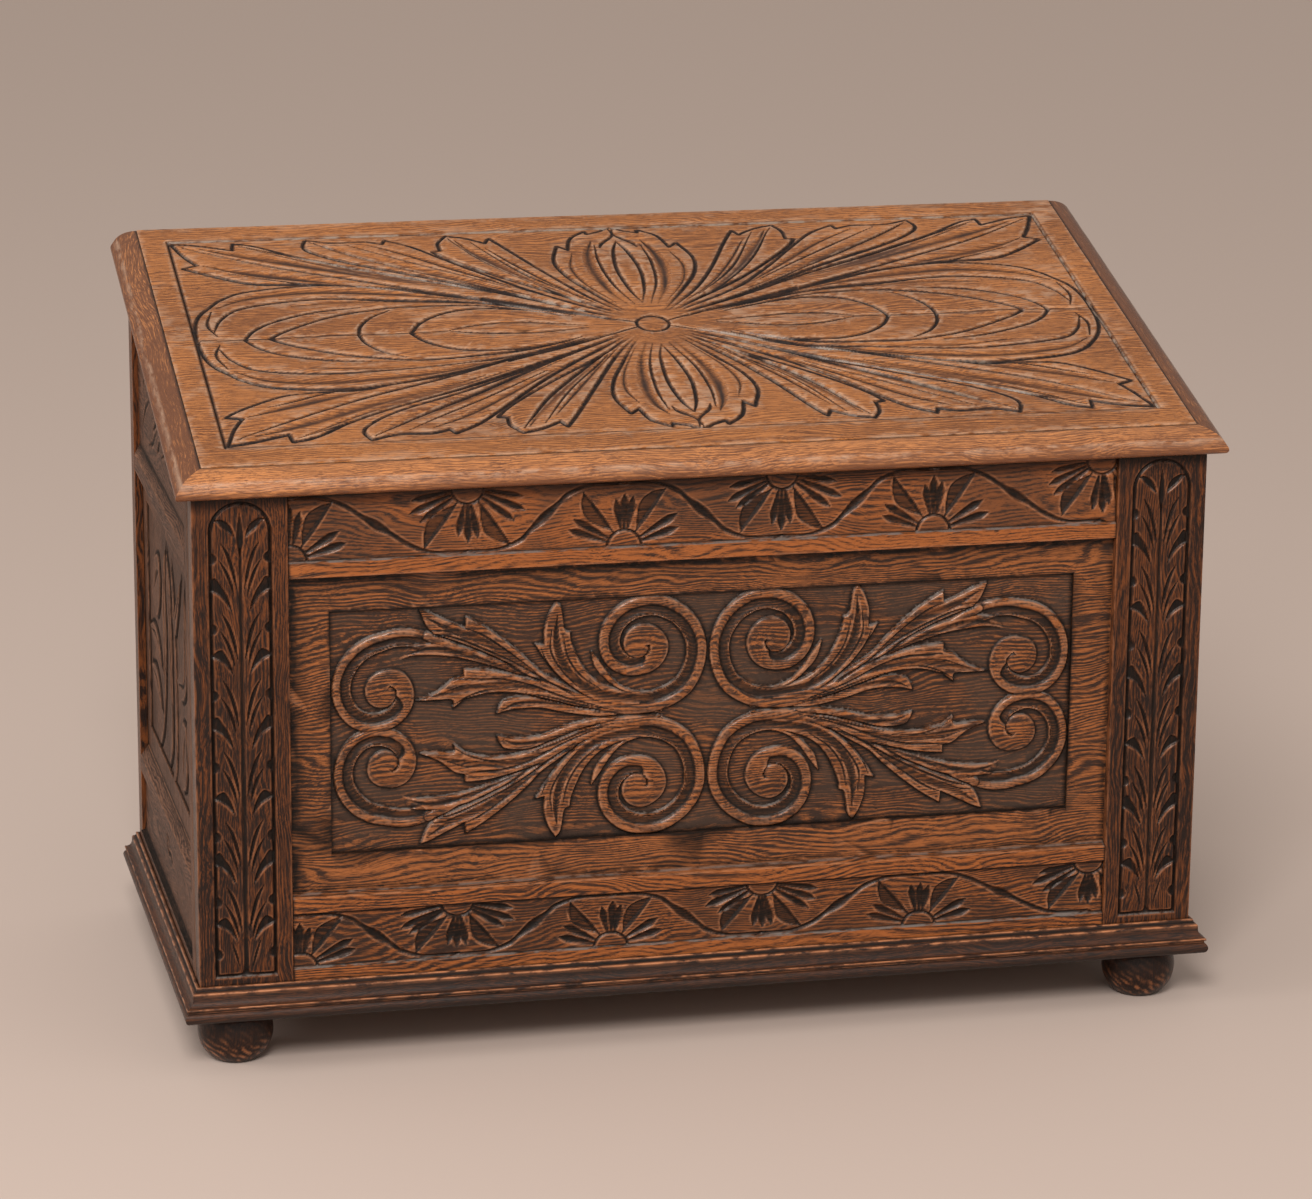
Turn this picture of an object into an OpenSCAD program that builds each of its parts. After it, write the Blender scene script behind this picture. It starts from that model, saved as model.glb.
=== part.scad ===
// Slant-lidded oak hope chest: a frame-and-panel carcass on four turned bun feet, with a moulded
// plinth and a lid that swings up on two butt hinges at the back. Millimetres, +Z up, front to -Y.

/* [Carcass] */
// Width of the carcass over its sides
carcass_w = 920; // [840:5:1040]
// Depth of the carcass from the front face to the back face
carcass_d = 450; // [400:5:520]
// Height of the carcass at its front face, from its lower edge
carcass_front_h = 477; // [450:1:540]
// Slope of the carcass's upper edge and of the lid, in degrees
lid_slope = 15.6; // [12:0.2:20]
// Thickness of the front frame
front_t = 22; // [20:0.5:28]
// Thickness of the side frames
side_t = 20; // [18:0.5:26]
// Thickness of the back frame
rear_t = 23; // [20:0.5:28]

/* [Front frame] */
// Width of a front stile
stile_w = 83.5; // [72:0.5:100]
// Height of the front bottom rail, up to the arris of its chamfer
front_bottom_rail_h = 106.5; // [98:0.5:120]
// Rise of the chamfer on the front bottom rail, from its arris to the panel
front_chamfer_rise = 4.2; // [2:0.1:8]
// Height of the front panel's opening, from the lower arris to the top rail
front_opening_h = 292.5; // [260:0.5:310]
// Depth of the front panel's face behind the frame
front_recess = 8; // [5:0.25:9]
// Width of the flat border at each side of the front panel's carved field
panel_border_x = 36.5; // [20:0.5:60]
// Width of the flat border above and below the front panel's carved field
panel_border_z = 33; // [20:0.5:60]
// Depth of the sunk ground of the front panel's carving
panel_ground = 4; // [1:0.25:5]
// Width of the plain strip above the bottom band and below the top band
strip_w = 13.5; // [8:0.5:20]
// Width of the plain strip below the front bottom band, above the plinth
base_strip_w = 10; // [5:0.5:14]
// Depth of the sunk ground of the carved bands
band_ground = 3; // [1:0.25:4]
// Width of the sunk leaf strip on a stile
leaf_w = 52; // [40:1:60]
// Depth of the sunk leaf strip on a stile
leaf_ground = 2; // [0.5:0.25:4]
// Plain wood left at the foot and the head of a stile's leaf strip
leaf_margin = 8; // [4:0.5:20]

/* [Side frames] */
// Width of the front stile of a side frame
side_stile_w = 28; // [25:0.5:40]
// Height of a side bottom rail, up to the arris of its chamfer
side_bottom_rail_h = 117.5; // [105:0.5:125]
// Rise of the chamfer at the head of a side bottom rail
side_chamfer_rise = 11; // [4:0.5:16]
// Height of a side panel's opening, from the lower arris to the top rail
side_opening_h = 283; // [250:0.5:295]
// Width of the plain strip on the side rails
side_strip_w = 15; // [10:0.5:20]
// Depth of a side panel's face behind the frame
side_recess = 7.5; // [5:0.25:9]
// Depth of the sunk ground of the sloping band at the head of a side
wedge_ground = 5.5; // [2:0.25:6]
// Depth of the sunk ground of the band at the foot of a side
side_band_ground = 4.3; // [2:0.1:6]
// Width of the flat border round a side panel's carved field
side_border = 24; // [16:1:40]
// Depth of the sunk ground of a side panel's carving
side_panel_ground = 2; // [0.5:0.25:3]

/* [Back frame] */
// Width of a rear stile
rear_stile_w = 60; // [50:1:90]
// Height of the rear bottom rail
rear_bottom_rail_h = 100; // [90:1:140]
// Height of the rear top rail at its back face
rear_top_rail_h = 90; // [75:1:130]
// Width of the muntin between the two back panels
muntin_w = 70; // [50:1:100]
// Depth of the back panels' faces inside the back face
rear_recess = 8; // [5:0.25:9]

/* [Joints] */
// Width of the panel grooves, and thickness of the mortises cut in line with them
groove_w = 7; // [6:0.25:8]
// Depth of the panel grooves
groove_d = 8; // [6:0.5:10]
// Length of the tenons in the front and rear stiles
tenon_l = 36; // [25:1:45]
// Length of the side rails' tenons in the side stiles
side_tenon_l = 17; // [14:0.5:22]
// Length of the side rails' tenons in the rear stiles
rear_tenon_l = 14; // [10:0.5:17]
// Shoulder of wood above or below a tenon
tenon_shoulder = 15; // [10:1:20]
// Clearance on each side of a tenon or tongue
joint_gap = 0.2; // [0.1:0.05:0.4]
// Room for a panel to swell at the foot of its groove
swell_gap = 1; // [0.5:0.25:2]
// Thickness of the panels
panel_t = 12; // [10:0.25:13]
// Thickness of the side and back panels
thin_panel_t = 10; // [8:0.25:11]

/* [Floor] */
// Thickness of the bottom boards
bottom_t = 12; // [9:0.5:18]
// Side of the ledger strips under the bottom boards
ledger = 18; // [14:1:26]
// Side of the square corner blocks that hold the feet
block_side = 72; // [64:1:90]

/* [Plinth and feet] */
// Height of the plinth moulding
plinth_h = 31.5; // [28:0.5:36]
// Reach of the plinth moulding beyond the carcass
plinth_reach = 15; // [13:0.5:20]
// Height of a foot from the floor to the carcass
foot_h = 48.5; // [40:0.5:60]
// Radius of a foot where it is widest
foot_r = 34; // [28:0.5:38]
// Height of a foot's widest girth above the floor
foot_girth = 27; // [20:0.5:32]
// Radius of a foot's flat underside
foot_flat_r = 19.5; // [15:0.5:24]
// Radius of a foot's top, against the carcass
foot_neck_r = 27; // [20:0.5:27]
// Radius of a foot's spigot
spigot_r = 9.5; // [7:0.25:11]
// Height of a foot's spigot
spigot_h = 26; // [18:1:28]
// Distance of a foot's centre inside the carcass's faces
foot_inset = 35.5; // [34:0.5:44]

/* [Lid] */
// Thickness of the lid board
lid_t = 22; // [18:0.5:26]
// Reach of the lid beyond the carcass's sides
lid_side_reach = 15; // [10:0.5:25]
// Reach of the lid beyond the carcass's front, measured down the slope
lid_front_reach = 14; // [10:0.5:25]
// Reach of the lid behind the carcass's back
lid_back_reach = 3; // [1:0.5:5]
// Width of the thumb moulding round the lid
moulding_w = 25; // [22:0.5:32]
// Gap between the closed lid and the carcass
lid_gap = 0.3; // [0.2:0.05:0.6]
// Width of the plain border at each side of the lid's carved field
lid_border_x = 25.5; // [16:0.5:50]
// Width of the plain border in front of the lid's carved field
lid_border_front = 32.5; // [20:0.5:50]
// Width of the plain border behind the lid's carved field
lid_border_back = 28; // [20:0.5:50]
// Depth of the sunk ground of the lid's carving
lid_ground = 1.5; // [0.5:0.25:3]
// Radius of the round boss in the middle of the lid
boss_r = 14; // [8:0.5:20]
// Width of a batten under the lid
batten_w = 60; // [40:1:80]
// Thickness of a batten under the lid
batten_t = 18; // [12:0.5:22]
// Distance of a batten's centre line inside the carcass's side
batten_in = 170; // [130:5:240]
// Distance of a batten's front end behind the front edge of the carcass, up the slope
batten_start = 45; // [40:1:70]

/* [Hinges] */
// Length of a hinge
hinge_l = 64; // [50:1:80]
// Width of a hinge leaf, from the pin's centre
hinge_leaf_w = 28; // [26:0.5:30]
// Thickness of a hinge leaf
leaf_t = 2; // [1.5:0.1:2.5]
// Radius of a hinge's knuckles
knuckle_r = 4.5; // [4:0.1:5]
// Radius of a hinge's pin
pin_r = 2.4; // [2:0.1:2.6]
// Running clearance of a pin in the lid leaf's knuckle
pin_gap = 0.05; // [0.03:0.01:0.09]
// Distance of the pin behind the carcass's back
pin_back = 8.5; // [8:0.25:10]
// Distance of a hinge's middle inside the carcass's side
hinge_in = 160; // [120:5:240]
// Length of a hinge screw
hinge_screw_l = 16; // [12:0.5:18]
// Radius of a screw's shank
screw_r = 1.8; // [1.5:0.1:2.2]
// Distance between the screws of a leaf
screw_pitch = 22; // [16:0.5:24]
// Length of a batten screw
batten_screw_l = 30; // [26:0.5:34]

/* [Hidden] */
$fn = 64;

// Finishes of the wood and the metal, as colours of the plain model
lid_oak = [0.66, 0.40, 0.20];
frame_oak = [0.36, 0.19, 0.10];
panel_oak = [0.42, 0.23, 0.12];
inner_oak = [0.62, 0.46, 0.30];
old_brass = [0.55, 0.45, 0.25];
old_steel = [0.35, 0.34, 0.33];

// Carcass faces and levels
x_out = carcass_w / 2;
y_front = -carcass_d / 2;
y_rear = carcass_d / 2;
z_base = foot_h;
z_front_top = z_base + carcass_front_h;
far = 2 * carcass_w;
// Least cut beyond a face, so that a cut leaves no skin
over = 1;

// Front frame levels
front_arris_z = z_base + front_bottom_rail_h;
front_opening_z0 = front_arris_z + front_chamfer_rise;
front_opening_z1 = front_arris_z + front_opening_h;
stile_inner_x = x_out - stile_w;

// Side frame levels
side_arris_z = z_base + side_bottom_rail_h;
side_opening_z0 = side_arris_z + side_chamfer_rise;
side_opening_z1 = side_arris_z + side_opening_h;
side_y0 = y_front + front_t + side_stile_w;
side_y1 = y_rear - rear_t;

// Back frame levels
rear_opening_z0 = z_base + rear_bottom_rail_h;
rear_top_z = z_front_top + carcass_d * tan(lid_slope);
rear_opening_z1 = rear_top_z - rear_top_rail_h;
rear_inner_x = x_out - rear_stile_w;

// Fits
tenon_t = groove_w - 2 * joint_gap;
tongue_l = groove_d - swell_gap;
slot_front_y = y_front + front_recess;
slot_rear_y = y_rear - rear_recess - groove_w;
slot_side_x = x_out - side_recess - groove_w;

// Lid, in the sloping frame whose origin is the carcass's front top arris
lid_under = lid_gap;
lid_top = lid_gap + lid_t;
lid_board_x = x_out + lid_side_reach - moulding_w;
lid_board_q = moulding_w - lid_front_reach;
lid_back_y = y_rear + lid_back_reach;
// Distance up the slope to the plane of the lid's back edge, at height n above the carcass's edge
function slope_q(y, n) = (y - y_front + n * sin(lid_slope)) / cos(lid_slope);
lid_q_max = slope_q(lid_back_y, lid_top);
pin_q = slope_q(y_rear + pin_back, lid_gap / 2);
lid_field_q0 = lid_board_q + lid_border_front;
lid_field_q1 = lid_q_max - lid_border_back;
tongue_h = 6;
tongue_n = lid_under + (lid_t - tongue_h) / 2;
tongue_out = 6;

// Battens: room behind one for the back frame as the lid swings, and its end screws' share of its length
batten_x = x_out - batten_in;
batten_back_room = 8;
batten_end = slope_q(y_rear - rear_t, -batten_t) - batten_back_room;
batten_screw_end = 0.12;

// Thumb moulding: a step down from the board, a broad thumb, a quirk and a half-round nose
edge_quirk = 1;
nose_r = 5;
nose_n = edge_quirk + nose_r;
nose_quirk = 1;
thumb_run = moulding_w - nose_r;
thumb_top = lid_t - edge_quirk;
thumb_foot = nose_n + nose_r + nose_quirk;

// Plinth moulding, from its top: a fillet, a step, a cove, a list, a groove and a bead
fillet_out = 3.5;
fillet_drop = 3.5;
step_out = 7;
step_slope = 1.5;
step_drop = 4;
list_h = 2;
list_in = 1.5;
groove_h = 1.5;
bead_r = 5.5;
cove_z1 = plinth_h - fillet_drop - step_slope - step_drop;
cove_z0 = 2 * bead_r + groove_h + list_h;
list_out = plinth_reach - list_in;

// Floor of the chest
bottom_boards = 3;
board_tongue = 5;
board_tongue_t = bottom_t / 3;
ledger_z = z_base + plinth_h - ledger;

// Feet
foot_steps = 16;
front_foot_y = y_front + foot_inset;
rear_foot_y = y_rear - foot_inset;
foot_x = x_out - foot_inset;

// Screws and hinge pins
head_r = 2 * screw_r;
head_h = screw_r;
screw_edge = 10;
screw_q = screw_edge - hinge_leaf_w;
hinge_x = x_out - hinge_in;
knuckle_gap = 0.25;
pin_proud = 0.1;
pin_head_l = 1.6;
pin_head_lip = 1;

// Place of the whole, so that the middle of its footprint is the origin
lid_nose_reach = (thumb_run - lid_board_q) * cos(lid_slope)
    + (lid_under + nose_n) * sin(lid_slope) + nose_r;
whole_y = (max(plinth_reach, lid_nose_reach) - max(plinth_reach, pin_back + knuckle_r)) / 2;

// Outline of the thumb moulding: distance out from the board, height above its underside
function thumb_profile() = concat(
    [[0, 0], [0, thumb_top]],
    [for (a = [80:-10:10]) [thumb_run * cos(a), thumb_foot + (thumb_top - thumb_foot) * sin(a)]],
    [[thumb_run, thumb_foot], [thumb_run - nose_quirk, thumb_foot - nose_quirk]],
    [for (a = [80:-16:-80]) [thumb_run + nose_r * cos(a), nose_n + nose_r * sin(a)]],
    [[thumb_run, 0]]);

// Outline of the plinth: distance out from the carcass, height above its lower edge
function plinth_profile() = concat(
    [[0, 0], [0, plinth_h], [fillet_out, plinth_h], [fillet_out, plinth_h - fillet_drop],
     [step_out, cove_z1 + step_drop]],
    [for (a = [0:15:75]) [list_out - (list_out - step_out) * cos(a),
        cove_z1 - (cove_z1 - cove_z0) * sin(a)]],
    [[list_out, cove_z0], [list_out, cove_z0 - list_h], [list_out - list_in, cove_z0 - list_h],
     [list_out - list_in, 2 * bead_r]],
    [for (a = [66:-16:-66]) [plinth_reach - bead_r + bead_r * cos(a), bead_r + bead_r * sin(a)]],
    [[plinth_reach - bead_r, 0]]);

// A block between two corners
module block(a, b) {
    translate([a.x, a.y, a.z]) cube([b.x - a.x, b.y - a.y, b.z - a.z]);
}

// Moves a shape drawn about the carcass's middle to the whole chest's origin
module placed() {
    translate([0, whole_y, 0]) children();
}

// The sloping frame: X across, Y up the slope, Z square to it
module sloped() {
    translate([0, y_front, z_front_top]) rotate([lid_slope, 0, 0]) children();
}

// Cuts a carcass piece to the slope under the lid
module topped() {
    difference() {
        children();
        sloped() block([-far, -far, 0], [far, far, far]);
    }
}

// Half-round-headed recess in a stile's face
module leaf_recess() {
    z0 = z_base + plinth_h + leaf_margin;
    z1 = z_front_top - leaf_margin;
    x = stile_inner_x + stile_w / 2;
    block([x - leaf_w / 2, y_front - over, z0],
        [x + leaf_w / 2, y_front + leaf_ground, z1 - leaf_w / 2]);
    translate([x, y_front - over, z1 - leaf_w / 2]) rotate([-90, 0, 0])
        cylinder(r = leaf_w / 2, h = leaf_ground + over);
}

// Right-hand front stile; the left-hand one is its mirror
module front_stile() {
    color(frame_oak) topped() difference() {
        block([stile_inner_x, y_front, z_base], [x_out, y_front + front_t, rear_top_z]);
        block([stile_inner_x - over, slot_front_y, front_opening_z0 - groove_d],
            [stile_inner_x + groove_d, slot_front_y + groove_w, front_opening_z1 + groove_d]);
        block([stile_inner_x - over, slot_front_y, z_base + tenon_shoulder],
            [stile_inner_x + tenon_l + joint_gap, slot_front_y + groove_w, front_opening_z0 - groove_d]);
        block([stile_inner_x - over, slot_front_y, front_opening_z1 + groove_d],
            [stile_inner_x + tenon_l + joint_gap, slot_front_y + groove_w, z_front_top - tenon_shoulder]);
        block([slot_side_x, y_front + front_t - tongue_out - joint_gap, z_base - over],
            [slot_side_x + groove_w, y_front + front_t + over, rear_top_z]);
        leaf_recess();
    }
}

// Front bottom rail: chamfered upper edge, plain strip, carved band and lower strip
module front_bottom_rail_body() {
    x = stile_inner_x;
    tenon_z0 = z_base + tenon_shoulder + joint_gap;
    tenon_z1 = front_opening_z0 - groove_d - joint_gap;
    band_z0 = z_base + plinth_h + base_strip_w;
    color(frame_oak) {
        difference() {
            block([-x, y_front, z_base], [x, y_front + front_t, front_opening_z0]);
            translate([-x - over, 0, 0]) rotate([90, 0, 90]) linear_extrude(2 * (x + over))
                polygon([[y_front - over, front_arris_z - front_chamfer_rise * over / front_recess],
                    [y_front + front_recess, front_opening_z0],
                    [y_front + front_recess, front_opening_z0 + over],
                    [y_front - over, front_opening_z0 + over]]);
            block([-x - over, slot_front_y, front_opening_z0 - groove_d],
                [x + over, slot_front_y + groove_w, front_opening_z0 + over]);
            block([-x - over, y_front - over, band_z0],
                [x + over, y_front + band_ground, front_arris_z - strip_w]);
        }
        for (side = [-1, 1]) scale([side, 1, 1])
            block([x - over, slot_front_y + joint_gap, tenon_z0],
                [x + tenon_l, slot_front_y + groove_w - joint_gap, tenon_z1]);
    }
}

// Front top rail: plain strip and carved band under the lid
module front_top_rail_body() {
    x = stile_inner_x;
    tenon_z0 = front_opening_z1 + groove_d + joint_gap;
    tenon_z1 = z_front_top - tenon_shoulder - joint_gap;
    color(frame_oak) {
        topped() difference() {
            block([-x, y_front, front_opening_z1], [x, y_front + front_t, rear_top_z]);
            block([-x - over, slot_front_y, front_opening_z1 - over],
                [x + over, slot_front_y + groove_w, front_opening_z1 + groove_d]);
            block([-x - over, y_front - over, front_opening_z1 + strip_w],
                [x + over, y_front + band_ground, z_front_top - leaf_margin / 2]);
        }
        for (side = [-1, 1]) scale([side, 1, 1])
            block([x - over, slot_front_y + joint_gap, tenon_z0],
                [x + tenon_l, slot_front_y + groove_w - joint_gap, tenon_z1]);
    }
}

// Front panel: a tongue all round, a flat border and a sunk carved field
module front_panel_body() {
    face = slot_front_y + joint_gap;
    x = stile_inner_x;
    color(panel_oak) difference() {
        union() {
            block([-x - tongue_l, face, front_opening_z0 - tongue_l],
                [x + tongue_l, face + tenon_t, front_opening_z1 + tongue_l]);
            block([-x + swell_gap, face, front_opening_z0 + swell_gap],
                [x - swell_gap, face + panel_t, front_opening_z1 - swell_gap]);
        }
        block([-x + panel_border_x, face - over, front_opening_z0 + panel_border_z],
            [x - panel_border_x, face + panel_ground, front_opening_z1 - panel_border_z]);
    }
}

// Right-hand stile of a side frame, tongued into the front stile
module side_stile() {
    y0 = y_front + front_t;
    color(frame_oak) topped() difference() {
        union() {
            block([x_out - side_t, y0, z_base], [x_out, side_y0, rear_top_z]);
            block([slot_side_x + joint_gap, y0 - tongue_out, z_base],
                [slot_side_x + groove_w - joint_gap, y0 + over, rear_top_z]);
        }
        block([slot_side_x, side_y0 - groove_d, side_opening_z0 - groove_d],
            [slot_side_x + groove_w, side_y0 + over, side_opening_z1 + groove_d]);
        block([slot_side_x, side_y0 - side_tenon_l - joint_gap, z_base + tenon_shoulder],
            [slot_side_x + groove_w, side_y0 + over, side_opening_z0 - groove_d]);
        block([slot_side_x, side_y0 - side_tenon_l - joint_gap, side_opening_z1 + groove_d],
            [slot_side_x + groove_w, side_y0 + over, z_front_top - tenon_shoulder]);
    }
}

// Right-hand rear stile, grooved for the side frame in front and the back frame beside it
module rear_stile() {
    color(frame_oak) topped() difference() {
        block([rear_inner_x, side_y1, z_base], [x_out, y_rear, rear_top_z + over]);
        block([slot_side_x, side_y1 - over, side_opening_z0 - groove_d],
            [slot_side_x + groove_w, side_y1 + groove_d, side_opening_z1 + groove_d]);
        block([slot_side_x, side_y1 - over, z_base + tenon_shoulder],
            [slot_side_x + groove_w, side_y1 + rear_tenon_l + joint_gap, side_opening_z0 - groove_d]);
        block([slot_side_x, side_y1 - over, side_opening_z1 + groove_d],
            [slot_side_x + groove_w, side_y1 + rear_tenon_l + joint_gap, rear_top_z - 2 * tenon_shoulder]);
        block([rear_inner_x - over, slot_rear_y, rear_opening_z0 - groove_d],
            [rear_inner_x + groove_d, slot_rear_y + groove_w, rear_opening_z1 + groove_d]);
        block([rear_inner_x - over, slot_rear_y, z_base + tenon_shoulder],
            [rear_inner_x + tenon_l + joint_gap, slot_rear_y + groove_w, rear_opening_z0 - groove_d]);
        block([rear_inner_x - over, slot_rear_y, rear_opening_z1 + groove_d],
            [rear_inner_x + tenon_l + joint_gap, slot_rear_y + groove_w, rear_top_z - tenon_shoulder]);
    }
}

// Tenons at both ends of a right-hand side rail
module side_tenons(z0, z1_front, z1_rear) {
    x0 = slot_side_x + joint_gap;
    x1 = slot_side_x + groove_w - joint_gap;
    block([x0, side_y0 - side_tenon_l, z0 + joint_gap], [x1, side_y0 + over, z1_front - joint_gap]);
    block([x0, side_y1 - over, z0 + joint_gap], [x1, side_y1 + rear_tenon_l, z1_rear - joint_gap]);
}

// Cuts the slanting shoulder of a side rail, from the arris at height z in to the given depth
module side_chamfer(z, depth, rise) {
    translate([0, side_y1 + over, 0]) rotate([90, 0, 0]) linear_extrude(side_y1 - side_y0 + 2 * over)
        polygon([[x_out + over, z - rise * over / depth], [x_out - depth, z + rise],
            [x_out - depth, z + rise + over], [x_out + over, z + rise + over]]);
}

// Right-hand side bottom rail
module side_bottom_rail() {
    band_z0 = z_base + plinth_h + base_strip_w;
    color(frame_oak) {
        difference() {
            block([x_out - side_t, side_y0, z_base], [x_out, side_y1, side_opening_z0]);
            side_chamfer(side_arris_z, side_recess, side_chamfer_rise);
            block([slot_side_x, side_y0 - over, side_opening_z0 - groove_d],
                [slot_side_x + groove_w, side_y1 + over, side_opening_z0 + over]);
            block([x_out - side_band_ground, side_y0 - over, band_z0],
                [x_out + over, side_y1 + over, side_arris_z - side_strip_w]);
        }
        side_tenons(z_base + tenon_shoulder, side_opening_z0 - groove_d, side_opening_z0 - groove_d);
    }
}

// Right-hand side top rail: a tapered board, sunk above its plain strip
module side_top_rail() {
    color(frame_oak) {
        topped() difference() {
            block([x_out - side_t, side_y0, side_opening_z1], [x_out, side_y1, rear_top_z]);
            block([slot_side_x, side_y0 - over, side_opening_z1 - over],
                [slot_side_x + groove_w, side_y1 + over, side_opening_z1 + groove_d]);
            side_chamfer(side_opening_z1 + side_strip_w, wedge_ground, side_chamfer_rise);
            block([x_out - wedge_ground, side_y0 - over, side_opening_z1 + side_strip_w + side_chamfer_rise],
                [x_out + over, side_y1 + over, rear_top_z + over]);
        }
        side_tenons(side_opening_z1 + groove_d, z_front_top - tenon_shoulder,
            rear_top_z - 2 * tenon_shoulder);
    }
}

// Right-hand side panel
module side_panel() {
    x1 = slot_side_x + groove_w - joint_gap;
    color(panel_oak) difference() {
        union() {
            block([x1 - tenon_t, side_y0 - tongue_l, side_opening_z0 - tongue_l],
                [x1, side_y1 + tongue_l, side_opening_z1 + tongue_l]);
            block([x1 - thin_panel_t, side_y0 + swell_gap, side_opening_z0 + swell_gap],
                [x1, side_y1 - swell_gap, side_opening_z1 - swell_gap]);
        }
        block([x1 - side_panel_ground, side_y0 + side_border, side_opening_z0 + side_border],
            [x1 + over, side_y1 - side_border, side_opening_z1 - side_border]);
    }
}

// Rail of the back frame between two heights, with its end tenons
module rear_rail(z0, z1, tenon_z0, tenon_z1) {
    block([-rear_inner_x, side_y1, z0], [rear_inner_x, y_rear, z1]);
    for (side = [-1, 1]) scale([side, 1, 1])
        block([rear_inner_x - over, slot_rear_y + joint_gap, tenon_z0 + joint_gap],
            [rear_inner_x + tenon_l, slot_rear_y + groove_w - joint_gap, tenon_z1 - joint_gap]);
}

// Long groove in a back rail for the panels and the muntin
module rear_groove(z0, z1) {
    block([-rear_inner_x - over, slot_rear_y, z0], [rear_inner_x + over, slot_rear_y + groove_w, z1]);
}

module rear_bottom_rail_body() {
    color(frame_oak) difference() {
        rear_rail(z_base, rear_opening_z0, z_base + tenon_shoulder, rear_opening_z0 - groove_d);
        rear_groove(rear_opening_z0 - groove_d, rear_opening_z0 + over);
    }
}

module rear_top_rail_body() {
    color(frame_oak) difference() {
        topped() rear_rail(rear_opening_z1, rear_top_z + over, rear_opening_z1 + groove_d,
            rear_top_z - tenon_shoulder);
        rear_groove(rear_opening_z1 - over, rear_opening_z1 + groove_d);
        for (side = [-1, 1]) hinge_at(side) {
            leaf_housing(-1);
            leaf_screws(-1, joint_gap / 4);
        }
    }
}

module rear_muntin_body() {
    w = muntin_w / 2;
    color(frame_oak) difference() {
        union() {
            block([-w, side_y1, rear_opening_z0], [w, y_rear, rear_opening_z1]);
            block([-w, slot_rear_y + joint_gap, rear_opening_z0 - tongue_l],
                [w, slot_rear_y + groove_w - joint_gap, rear_opening_z1 + tongue_l]);
        }
        for (side = [-1, 1]) scale([side, 1, 1])
            block([w - groove_d, slot_rear_y, rear_opening_z0 - groove_d - over],
                [w + over, slot_rear_y + groove_w, rear_opening_z1 + groove_d + over]);
    }
}

// Right-hand back panel
module rear_panel() {
    y1 = slot_rear_y + groove_w - joint_gap;
    w = muntin_w / 2;
    color(panel_oak) {
        block([w - tongue_l, y1 - tenon_t, rear_opening_z0 - tongue_l],
            [rear_inner_x + tongue_l, y1, rear_opening_z1 + tongue_l]);
        block([w + swell_gap, y1 - thin_panel_t, rear_opening_z0 + swell_gap],
            [rear_inner_x - swell_gap, y1, rear_opening_z1 - swell_gap]);
    }
}

// Bottom board number i from the front, tongued into its neighbour behind
module bottom_board(i) {
    x = x_out - side_t - swell_gap / 2;
    room = side_y1 - y_front - front_t - swell_gap;
    w = room / bottom_boards;
    y0 = y_front + front_t + swell_gap / 2 + i * w;
    z0 = z_base + plinth_h;
    tongue_z = z0 + (bottom_t - board_tongue_t) / 2;
    color(inner_oak) difference() {
        union() {
            block([-x, y0 + (i > 0 ? joint_gap : 0), z0], [x, y0 + w, z0 + bottom_t]);
            if (i < bottom_boards - 1)
                block([-x, y0 + w - over, tongue_z + joint_gap],
                    [x, y0 + w + board_tongue, tongue_z + board_tongue_t - joint_gap]);
        }
        if (i > 0)
            block([-x - over, y0 - over, tongue_z],
                [x + over, y0 + board_tongue + 2 * joint_gap, tongue_z + board_tongue_t]);
    }
}

// Ledgers under the bottom boards, between the corner blocks
module long_ledger(y) {
    x = x_out - side_t - block_side - joint_gap;
    color(inner_oak) block([-x, y, ledger_z], [x, y + ledger, ledger_z + ledger]);
}

module side_ledger() {
    x = x_out - side_t;
    color(inner_oak) block([x - ledger, y_front + front_t + block_side + joint_gap, ledger_z],
        [x, side_y1 - block_side - joint_gap, ledger_z + ledger]);
}

// Corner block over the foot at the right-hand front or rear corner
module corner_block(y, foot_y) {
    x = x_out - side_t;
    color(inner_oak) difference() {
        block([x - block_side, y, z_base], [x, y + block_side, z_base + plinth_h]);
        translate([foot_x, foot_y, z_base - over])
            cylinder(r = spigot_r + joint_gap / 2, h = spigot_h + over + joint_gap);
    }
}

// Radius of a bun foot at height z: a flat ellipse below the girth and another above it
function bun_r(z) = let(
    end_r = z < foot_girth ? foot_flat_r : foot_neck_r,
    span = z < foot_girth ? foot_girth : foot_h - foot_girth,
    reach = span / sqrt(1 - pow(end_r / foot_r, 2))
) foot_r * sqrt(1 - pow((z - foot_girth) / reach, 2));

// Turned bun foot with its spigot, standing on the floor at a point
module foot(x, y) {
    color(frame_oak) translate([x, y, 0]) {
        rotate_extrude() polygon(concat([[0, 0]],
            [for (i = [0:foot_steps]) [bun_r(foot_h * i / foot_steps), foot_h * i / foot_steps]],
            [[0, foot_h]]));
        translate([0, 0, foot_h - over]) cylinder(r = spigot_r, h = spigot_h + over);
    }
}

// A plinth length along the X axis at the carcass's front, mitred at both ends
module plinth_run(half_length, face) {
    color(frame_oak) intersection() {
        translate([-half_length - plinth_reach, -face, z_base]) rotate([90, 0, 90])
            linear_extrude(2 * (half_length + plinth_reach)) scale([-1, 1]) polygon(plinth_profile());
        translate([0, 0, z_base - over]) linear_extrude(plinth_h + 2 * over)
            polygon([[-half_length, -face], [half_length, -face],
                [half_length + plinth_reach, -face - plinth_reach],
                [-half_length - plinth_reach, -face - plinth_reach]]);
    }
}

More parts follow.
